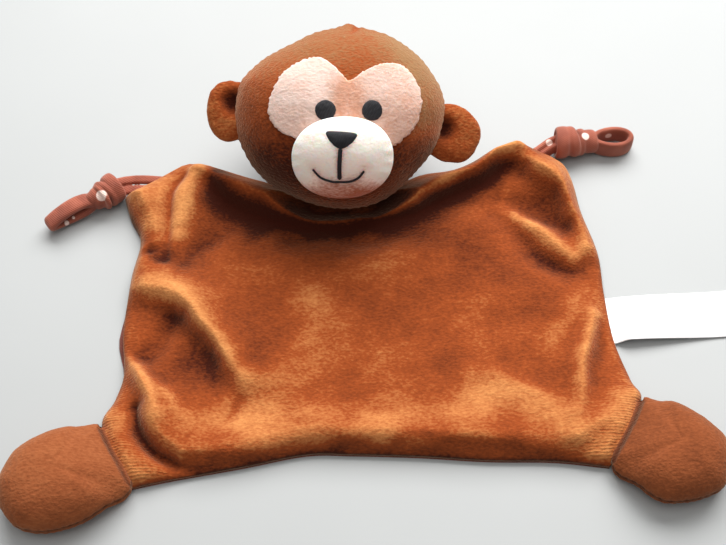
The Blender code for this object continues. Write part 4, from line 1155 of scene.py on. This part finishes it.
def make_mask(head, material):
    """The two-lobed plush patch, with a soft ragged rim."""
    outline = smooth_curve(MASK_OUTLINE, 240, closed=True)
    places, share, side, faces = flat_ball(BALL_LEVEL, outline, MASK_CENTRE)
    ragged = MASK_RAGGED * noise(places, 0.0010, 41) * smooth_step((share - 0.85) / 0.15)
    away = places - MASK_CENTRE
    places = places + unit(away) * ragged[:, None]
    skin = on_skin(tree_of(head), places)
    reach = np.linalg.norm(away, axis=1) / np.maximum(share, 1e-6)
    inset = reach * (1 - share)
    rise = MASK_THICKNESS * np.sqrt(1 - (1 - np.clip(inset / MASK_RIM, 0, 1)) ** 2)
    pile = swell(np.column_stack([places, share * 0]), MASK_SWELLS, 51) * np.clip(inset / 0.0015, 0, 1)
    lift = np.where(side > 0, rise + pile, -0.0003)
    points = skin + lift[:, None] * skin_normals(places)
    # Painted shade in the notch between the lobes and towards the right, darker between the eyes, and lighter
    # towards the top
    notch = bell(np.linalg.norm(places - MASK_NOTCH, axis=1), 0.008)
    between = 1.5 * bell(np.linalg.norm(places - BETWEEN_EYES, axis=1), 0.008)
    between += 0.5 * smooth_step((places[:, 0] - 0.006) / 0.016)
    crest = np.clip(0.35 * np.clip(places[:, 1] / 0.02, -1, 1) - 1.5 * notch - between, -1.3, 1)
    mask = new_piece("face_mask_plush", points, faces, material, crest=crest, ribbed=0.0)
    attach(mask, "head")
    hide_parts("face_mask")
    return mask


def make_muzzle(head, material):
    """The stuffed muzzle, drawn in at its rim with small puckers at its sides."""
    turns = full_turn(200)
    around = np.stack([np.cos(turns), np.sin(turns)], axis=1)
    outline = MUZZLE_CENTRE + MUZZLE_HALF * np.sign(around) * np.abs(around) ** MUZZLE_SQUARENESS
    places, share, side, faces = flat_ball(BALL_LEVEL, outline, MUZZLE_CENTRE)
    skin = on_skin(tree_of(head), places)
    dome = MUZZLE_HEIGHT * np.sqrt(np.clip(1 - share**MUZZLE_ROUNDNESS, 0, 1))
    angle = np.arctan2(places[:, 1] - MUZZLE_CENTRE[1], places[:, 0] - MUZZLE_CENTRE[0])
    pleats = np.abs(np.cos(angle)) ** 6 * (0.5 + 0.5 * np.cos(angle * MUZZLE_PLEATS))
    pleats = pleats * smooth_step((share - 0.72) / 0.2)
    pile = swell(np.column_stack([places, share * 0]), MUZZLE_SWELLS, 61)
    rise = FACE_RISE + dome - MUZZLE_PLEAT * pleats + pile * np.clip((1 - share) / 0.1, 0, 1)
    from_smile = near_route(places, smooth_curve(SMILE_ROUTE, 20))[0]
    from_lines = np.minimum(near_route(places, PHILTRUM_ROUTE)[0], from_smile)
    pulled = bell(from_lines, 0.0026)
    rise = rise - 0.0011 * pulled
    bulge = MUZZLE_BULGE * smooth_step((share - 0.6) / 0.3) * np.clip((1 - share) / 0.06, 0, 1)
    away = unit(places - MUZZLE_CENTRE)
    lift = np.where(side > 0, rise, -0.0003)
    points = skin + lift[:, None] * OUT + (np.where(side > 0, bulge, 0))[:, None] * (away @ HEAD_AXES[:2])
    # Painted light towards the top; painted shade at the bottom, at the rim and along the mouth's lines,
    # where the plush is pulled in
    low = (places[:, 1] - MUZZLE_CENTRE[1]) / MUZZLE_HALF[1]
    shade = 0.15 * low + 0.80 - 1.9 * smooth_step((-low - 0.35) / 0.60)
    shade = shade - 0.3 * smooth_step((share - 0.88) / 0.12) - 0.7 * bell(from_lines, 0.0034)
    muzzle = new_piece("muzzle_stuffed", points, faces, material, crest=np.clip(shade, -1.3, 1), ribbed=0.0)
    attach(muzzle, "head")
    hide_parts("muzzle_cover", "muzzle_stuffing")
    return muzzle


def stitched_patch(name, outline, middle, ground, material, across):
    """A patch of satin stitch on a piece: a low dome with a ridge for each thread along one direction."""
    places, share, side, faces = flat_ball(PATCH_LEVEL, outline, middle)
    thread_number = places @ np.array(across) / THREAD_PITCH
    ridge = THREAD_RELIEF * np.cos(math.tau * thread_number)
    ends = 0.00010 * noise(np.round(thread_number)[:, None] * np.array((0.01, 0.0037)), 0.004, 71)
    away = unit(places - middle)
    places = places + away * (ends * smooth_step((share - 0.8) / 0.2))[:, None]
    dome = THREAD_HEIGHT * (1 - share**6) * (1 - 0.25 * share**2)
    skin = on_skin(ground, places)
    lift = np.where(side > 0, dome + ridge * (1 - share**6) + 0.0001, -0.0003)
    patch = new_piece(name + "_stitches", skin + lift[:, None] * skin_normals(places), faces, material)
    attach(patch, "head")
    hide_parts(name)


def stitched_line(name, route, width, ground, material):
    """A line of satin stitch on a piece, with slanting threads and tapered ends."""
    line = smooth_curve(route, 160)
    travelled = np.linspace(0, 1, len(line))
    length = np.sum(np.linalg.norm(np.diff(line, axis=0), axis=1))
    taper = np.sqrt(np.clip(np.minimum(travelled, 1 - travelled) * length / (width * 0.45), 0.05, 1))
    skin = on_skin(ground, line)
    ahead = np.gradient(line, axis=0)
    across = unit(np.stack([-ahead[:, 1], ahead[:, 0]], axis=1))
    turns = full_turn(16)
    rings = []
    for k, place in enumerate(skin):
        slant = np.cos(math.tau * (travelled[k] * length + 0.35 * width * np.cos(turns)) / THREAD_PITCH)
        bulge = 1 + 0.10 * slant
        sideways = across[k] @ HEAD_AXES[:2]
        normal = skin_normals(line[k:k + 1])[0]
        ring = (place + 0.0001 * normal + (np.cos(turns) * width / 2 * taper[k] * bulge)[:, None] * sideways
                + (np.sin(turns) * THREAD_HEIGHT * 0.75 * taper[k] * bulge)[:, None] * normal)
        rings.append(ring)
    faces = tube_faces(len(rings), len(turns), closed=False)
    piece = new_piece(name + "_stitches", np.vstack(rings), faces, material)
    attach(piece, "head")
    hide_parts(name)


def make_features(mask, muzzle, material):
    """The eyes, the nose and the mouth's two lines, each stitched on what lies below it."""
    turns = full_turn(120)
    mask_tree, muzzle_tree = tree_of(mask), tree_of(muzzle)
    for name, centre in EYE_CENTRES.items():
        circle = np.array(centre) + EYE_RADIUS * np.stack([np.cos(turns), np.sin(turns)], axis=1)
        stitched_patch(name, circle, np.array(centre), mask_tree, material, (0.17, 0.98))
    nose = smooth_curve(NOSE_OUTLINE, 160, closed=True)
    stitched_patch("nose", nose, NOSE_CENTRE, muzzle_tree, material, (0.12, 0.99))
    stitched_line("philtrum", PHILTRUM_ROUTE, PHILTRUM_WIDTH, muzzle_tree, material)
    stitched_line("smile", SMILE_ROUTE, SMILE_WIDTH, muzzle_tree, material)


def make_ear(name, material):
    """An ear: a rolled rim round a hollow front, and a rounded back."""
    outline = smooth_curve(EAR_OUTLINES[name], 200, closed=True)
    middle = outline.mean(axis=0)
    places, share, side, faces = flat_ball(PATCH_LEVEL, outline, middle)
    dome = EAR_THICKNESS / 2 * np.sqrt(1 - share**4)
    from_hollow = np.linalg.norm(places - EAR_HOLLOWS[name], axis=1)
    hollow = np.where(side > 0, np.exp(-(from_hollow / EAR_HOLLOW_REACH) ** 3), 0.0)
    out = side * dome - EAR_HOLLOW * hollow
    points = HEAD_CENTRE + places[:, :1] * SIDE + places[:, 1:] * UP + out[:, None] * OUT
    normals = point_normals(points, faces)
    points = points + swell(points, EAR_SWELLS, 81)[:, None] * normals
    # Painted shade in the hollow of the ear's front, and a little lighter elsewhere
    ear = new_piece(name + "_stuffed", points, faces, material, ribbed=0.1,
                    crest=np.clip(0.3 - 1.4 * hollow, -1.2, 1) * np.where(side > 0, 1, 0.3))
    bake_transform(ear)
    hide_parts(name + "_front", name + "_back")


def make_neck_stitches(material):
    """A ring of short slanting hand stitches round the neck, between the head and the cloth."""
    parts = []
    for k in range(NECK_STITCHES):
        turn = math.tau * k / NECK_STITCHES
        reach_x, reach_y = NECK_STITCH_HALF
        centre = NECK_CENTRE + np.array((math.cos(turn) * reach_x, math.sin(turn) * reach_y, 0))
        lean = np.array((-math.sin(turn) * 0.0008, math.cos(turn) * 0.0004, 0.0012))
        path = centre + np.linspace(-1, 1, 7)[:, None] * lean
        parts.append(sweep(path, SIDE, 0.0007, 0.0007, closed=False, count=8, squareness=1.0))
    points, faces = joined(parts)
    stitches = new_piece("neck_stitches", points, faces, material)
    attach(stitches, "neck")
    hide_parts("neck_stitching")


# ---------------------------------------------------------------- feet


def make_foot(name, material):
    """A stuffed foot: a crowned top and a flat-bottomed sole that meet at a seam, drawn in at the ankle."""
    ankle = np.array(FOOT_OUTLINES[name][:2])
    middle = smooth_curve(FOOT_OUTLINES[name], 26, closed=True).mean(axis=0)
    hinge = ankle.mean(axis=0)
    away = (middle - hinge) / np.linalg.norm(middle - hinge)
    corners = ankle + ANKLE_CORNER_SHARE * (ankle[::-1] - ankle)
    tucked = np.array(FOOT_OUTLINES[name])
    tucked[:2] = corners - ANKLE_TUCK * away
    outline = smooth_curve(tucked, 240, closed=True)
    places, share, side, faces = flat_ball(BALL_LEVEL, outline, middle)
    seam_line = split_side(CLOTH_LEFT if name == "foot_left" else CLOTH_RIGHT)[0]
    from_ankle, lean, _ = near_route(places, seam_line)
    past_ankle = from_ankle * np.sign(lean) * (1 if name == "foot_left" else -1)
    edge = middle + (places - middle) / np.maximum(share, 1e-6)[:, None]
    edge_seam = smooth_step(near_route(edge, ankle)[0] / ANKLE_REACH)
    rim = ANKLE_SEAM_HEIGHT + (FOOT_SEAM_HEIGHT - ANKLE_SEAM_HEIGHT) * edge_seam
    seam = rim * share + FOOT_SEAM_HEIGHT * (1 - share)
    # Flatter and squarer towards the ankle seam; behind the seam the top dips under the cloth
    at_ankle = bell(from_ankle, ANKLE_NARROWING)
    roundness = FOOT_TOP_ROUNDNESS + ANKLE_SQUARER * at_ankle
    full = 1 - (1 - ANKLE_FULLNESS) * at_ankle
    top = FOOT_TOP_HEIGHT * full * np.sqrt(np.clip(1 - share**roundness, 0, 1))
    sole = -FOOT_SEAM_HEIGHT * np.sqrt(np.clip(1 - share**SOLE_ROUNDNESS, 0, 1))
    tuck = smooth_step((past_ankle + ANKLE_LIP) / ANKLE_LIP_RUN)
    height = np.maximum(seam + np.where(side > 0, top * (0.10 + 0.90 * tuck), sole), 0.0004)
    points = np.column_stack([places, height])
    normals = point_normals(points, faces)
    lying = smooth_step((0.006 - height) / 0.004)
    points = stuffed(points, BALL_LEVEL, np.maximum(lying, np.maximum(at_ankle, share**8)))
    run = np.arctan2(places[:, 1] - middle[1], places[:, 0] - middle[0]) * 0.026
    seam_distance = np.abs(points[:, 2] - seam) + 0.012 * np.clip(0.93 - share, 0, 1)
    ankle_groove = seam_groove(from_ankle, places[:, 1] * 1.2, 0.0005, 0.0012, 0.0)
    sink = np.maximum(seam_groove(seam_distance, run, 0.0009, 0.0009, 0.0003), ankle_groove)
    lumps = swell(points, FOOT_SWELLS, 91)
    points = points + (lumps - sink)[:, None] * normals
    points[:, 2] = np.maximum(points[:, 2], 0.0003)
    # Painted shade in the seams' grooves and along the ankle seam, on each foot's own tone shift
    crest = FOOT_TONE_SHIFTS[name] - sink / 0.0008 - 0.7 * bell(past_ankle + 0.0002, 0.0012)
    foot = new_piece(name + "_stuffed", points, faces, material, ribbed=0.1 + 0.2 * at_ankle,
                     crest=np.clip(crest, -1.5, 1))
    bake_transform(foot)
    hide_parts(name + "_top", name + "_sole", name + "_stuffing")


# ---------------------------------------------------------------- ties


def wrap(centre, axis, half, width, tilt, shift, turn_from=0.0):
    """One turn of strap round a knot; tilt leans it along the knot's axis."""
    turns = full_turn(72)
    across = np.cross((0, 0, 1), axis)
    lean = shift + tilt * np.cos(turns + turn_from)
    path = (centre + lean[:, None] * axis + (np.cos(turns) * half[1])[:, None] * across
            + (np.sin(turns) * half[2])[:, None] * np.array((0, 0, 1)))
    return sweep(path, axis, width, STRAP_THICKNESS * 0.9, closed=True, squareness=0.8)


def knot_core(centre, axis, half, share):
    """The rounded lump inside a knot's turns."""
    directions, faces = ball(4)
    across = np.cross((0, 0, 1), axis)
    axes = np.stack([axis, across, np.array((0, 0, 1.0))])
    return centre + (directions * np.array(half) * share) @ axes, faces


def soft_jersey(name, parts, material, voxel=0.00042, smoothing=3, seed=100):
    """A piece of tied jersey: its straps fused into one skin, with small wrinkles."""
    points, faces = fused(parts, voxel, smoothing)
    points = points + 0.00012 * noise(points, 0.0018, seed)[:, None] * noise_direction(points)
    points[:, 2] = np.maximum(points[:, 2], 0.0002)
    return new_piece(name, points, faces, material, crest=0.0)


def noise_direction(points):
    """A direction for each point that drifts smoothly over the piece."""
    return np.stack([noise(points, 0.003, 201), noise(points, 0.003, 202), noise(points, 0.003, 203)], axis=1)


def inner_half(half):
    """Half extents of the middle of the strap in a knot of these half extents."""
    return tuple(extent - STRAP_THICKNESS * 0.45 for extent in half)


def finish_tie(piece, body, nodes):
    """Attaches a knot or a loop to what it rides on, and hides the solids that it stands for."""
    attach(piece, body)
    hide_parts(*nodes)


def make_left_tie(material):
    """The left tie: two strands from under the corner, a small round knot, and a flattened end loop."""
    run = np.array((*TIE_LEFT_LOOP[1], 0)) - np.array((*TIE_LEFT_LOOP[0], 0))
    run = run / np.linalg.norm(run)
    across = np.cross((0, 0, 1), run)
    strands = []
    for offset, lift in ((0.0026, 0.0010), (-0.0024, -0.0006)):
        path = smooth_curve(np.array(TIE_LEFT_STEM) + np.array((0, offset, lift)), 24)
        strands.append(sweep(path, (0, 1, 0.2), 0.0044, STRAP_THICKNESS, closed=False))
    stem = soft_jersey("tie_left_strands", strands, material, smoothing=2, seed=110)
    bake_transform(stem)
    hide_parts("tie_left_stem")

    half = inner_half(TIE_LEFT_KNOT_HALF)
    axis = TIE_LEFT_KNOT_AXIS / np.linalg.norm(TIE_LEFT_KNOT_AXIS)
    parts = [knot_core(TIE_LEFT_KNOT, axis, TIE_LEFT_KNOT_HALF, 0.84)]
    for shift, tilt, width, share in ((-0.0022, 0.0006, 0.0062, 1.0), (0.0024, -0.0007, 0.0030, 0.97),
                                      (0.0050, 0.0006, 0.0026, 0.88)):
        parts.append(wrap(TIE_LEFT_KNOT, axis, [extent * share for extent in half], width, tilt, shift))
    parts.append(knot_core(TIE_LEFT_COLLAR, run, (0.0068, 0.0048, 0.0054), 1.0))
    parts.append(wrap(TIE_LEFT_COLLAR, run, (0, 0.0040, 0.0044), 0.0064, 0.0004, -0.0010))
    knot = soft_jersey("tie_left_wraps", parts, material, seed=120)
    finish_tie(knot, "tie_left", ["tie_left_knot"])

    start, end = (np.array((*place, height)) for place, height in zip(TIE_LEFT_LOOP, TIE_LEFT_LOOP_HEIGHTS))
    turns = full_turn(96)
    rise = np.array((0, 0, TIE_LEFT_LOOP_RISE))
    path = (start + end) / 2 + np.cos(turns)[:, None] * (end - start) / 2 + np.sin(turns)[:, None] * rise
    path = path + (0.0006 * np.sin(2 * turns + 0.6))[:, None] * across
    strap = sweep(path, across, STRAP_WIDTH * 0.85, TIE_LEFT_LOOP_THICKNESS, closed=True, squareness=0.8)
    loop = soft_jersey("tie_left_loop_strap", [strap], material, smoothing=2, seed=130)
    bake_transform(loop)
    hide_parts("tie_left_loop")


def make_right_tie(material):
    """The right tie: two strands, a longer knot, and an open end loop that stands on its edge."""
    strands = []
    for offset in (0.0020, -0.0020):
        path = smooth_curve(np.array(TIE_RIGHT_STEM) + np.array((0, offset, 0.3 * offset)), 24)
        strands.append(sweep(path, (0, 0.5, 1), 0.0048, STRAP_THICKNESS, closed=False))
    stem = soft_jersey("tie_right_strands", strands, material, smoothing=2, seed=140)
    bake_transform(stem)
    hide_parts("tie_right_stem")

    axis = np.array((0.998, 0.06, 0.0))
    half = inner_half(TIE_RIGHT_KNOT_HALF)
    parts = [knot_core(TIE_RIGHT_KNOT, axis, TIE_RIGHT_KNOT_HALF, 0.86),
             knot_core(TIE_RIGHT_BAND, axis, (0.0075, 0.0060, 0.0062), 1.0)]
    for centre, shift, tilt, width, share in ((TIE_RIGHT_KNOT, -0.0026, 0.0009, 0.0066, 1.0),
                                              (TIE_RIGHT_KNOT, 0.0028, -0.0010, 0.0046, 0.95),
                                              (TIE_RIGHT_BAND, -0.0022, 0.0005, 0.0040, 0.80),
                                              (TIE_RIGHT_BAND, 0.0026, -0.0004, 0.0070, 0.68)):
        parts.append(wrap(centre, axis, [extent * share for extent in half], width, tilt, shift))
    knot = soft_jersey("tie_right_wraps", parts, material, seed=150)
    finish_tie(knot, "tie_right", ["tie_right_knot"])

    turns = full_turn(96)
    half_x, half_y = TIE_RIGHT_LOOP_HALF
    centre = np.array((*TIE_RIGHT_LOOP_CENTRE, STRAP_WIDTH / 2 + 0.0003))
    wave = 0.0004 * np.sin(2 * turns)
    path = centre + np.stack([np.cos(turns) * half_x, np.sin(turns) * half_y, wave], axis=1)
    strap = sweep(path, (0, 0, 1), STRAP_WIDTH, STRAP_THICKNESS, closed=True)
    loop = soft_jersey("tie_right_loop_strap", [strap], material, smoothing=2, seed=160)
    finish_tie(loop, "loop_right", ["tie_right_loop"])


# ---------------------------------------------------------------- the whole


def main():
    """Builds the camera, the studio and every piece."""
    make_camera()
    make_studio()
    make_floor()
    rust = velour("rust_velour_look", (DEEP_RUST, MAIN_RUST, LIGHT_RUST), SHEEN_RUST)
    # The head's velour: the cloth's colours with a paler, less orange light end for the head's painted
    # highlight, and coarser grain
    russet = velour("head_velour_look", (DEEP_RUST, MAIN_RUST, HEAD_HIGHLIGHT), SHEEN_RUST, grain=1.5)
    tan = velour("foot_velour_look", (FOOT_DEEP, FOOT_MAIN, FOOT_LIGHT), SHEEN_RUST, sheen=0.26)
    peach = velour("peach_plush_look", (PLUSH_DEEP, PLUSH_MAIN, PLUSH_LIGHT), SHEEN_PLUSH,
                   patch=0.016, sheen=0.3, glow=0.35)
    pale = velour("muzzle_plush_look", (MUZZLE_DEEP, MUZZLE_MAIN, MUZZLE_LIGHT), SHEEN_MUZZLE,
                  patch=0.016, sheen=0.3, glow=0.9)
    tie = jersey("tie_jersey_look", (JERSEY_DEEP, JERSEY_MAIN, JERSEY_LIGHT))
    lining = jersey("back_jersey_look", (BACK_DEEP, BACK_MAIN, BACK_LIGHT))
    charcoal = thread("charcoal_thread_look", THREAD_COLOUR)
    brown = thread("brown_thread_look", BROWN_THREAD)
    white = satin("white_satin_look")

    cloth = make_cloth(rust)
    back = make_back(lining)
    label = make_label(white)

    head = make_head(russet)
    mask = make_mask(head, peach)
    muzzle = make_muzzle(head, pale)
    make_features(mask, muzzle, charcoal)
    for name in EAR_OUTLINES:
        make_ear(name, rust)
    make_neck_stitches(brown)
    for name in FOOT_OUTLINES:
        make_foot(name, tan)
    make_left_tie(tie)
    make_right_tie(tie)


main()
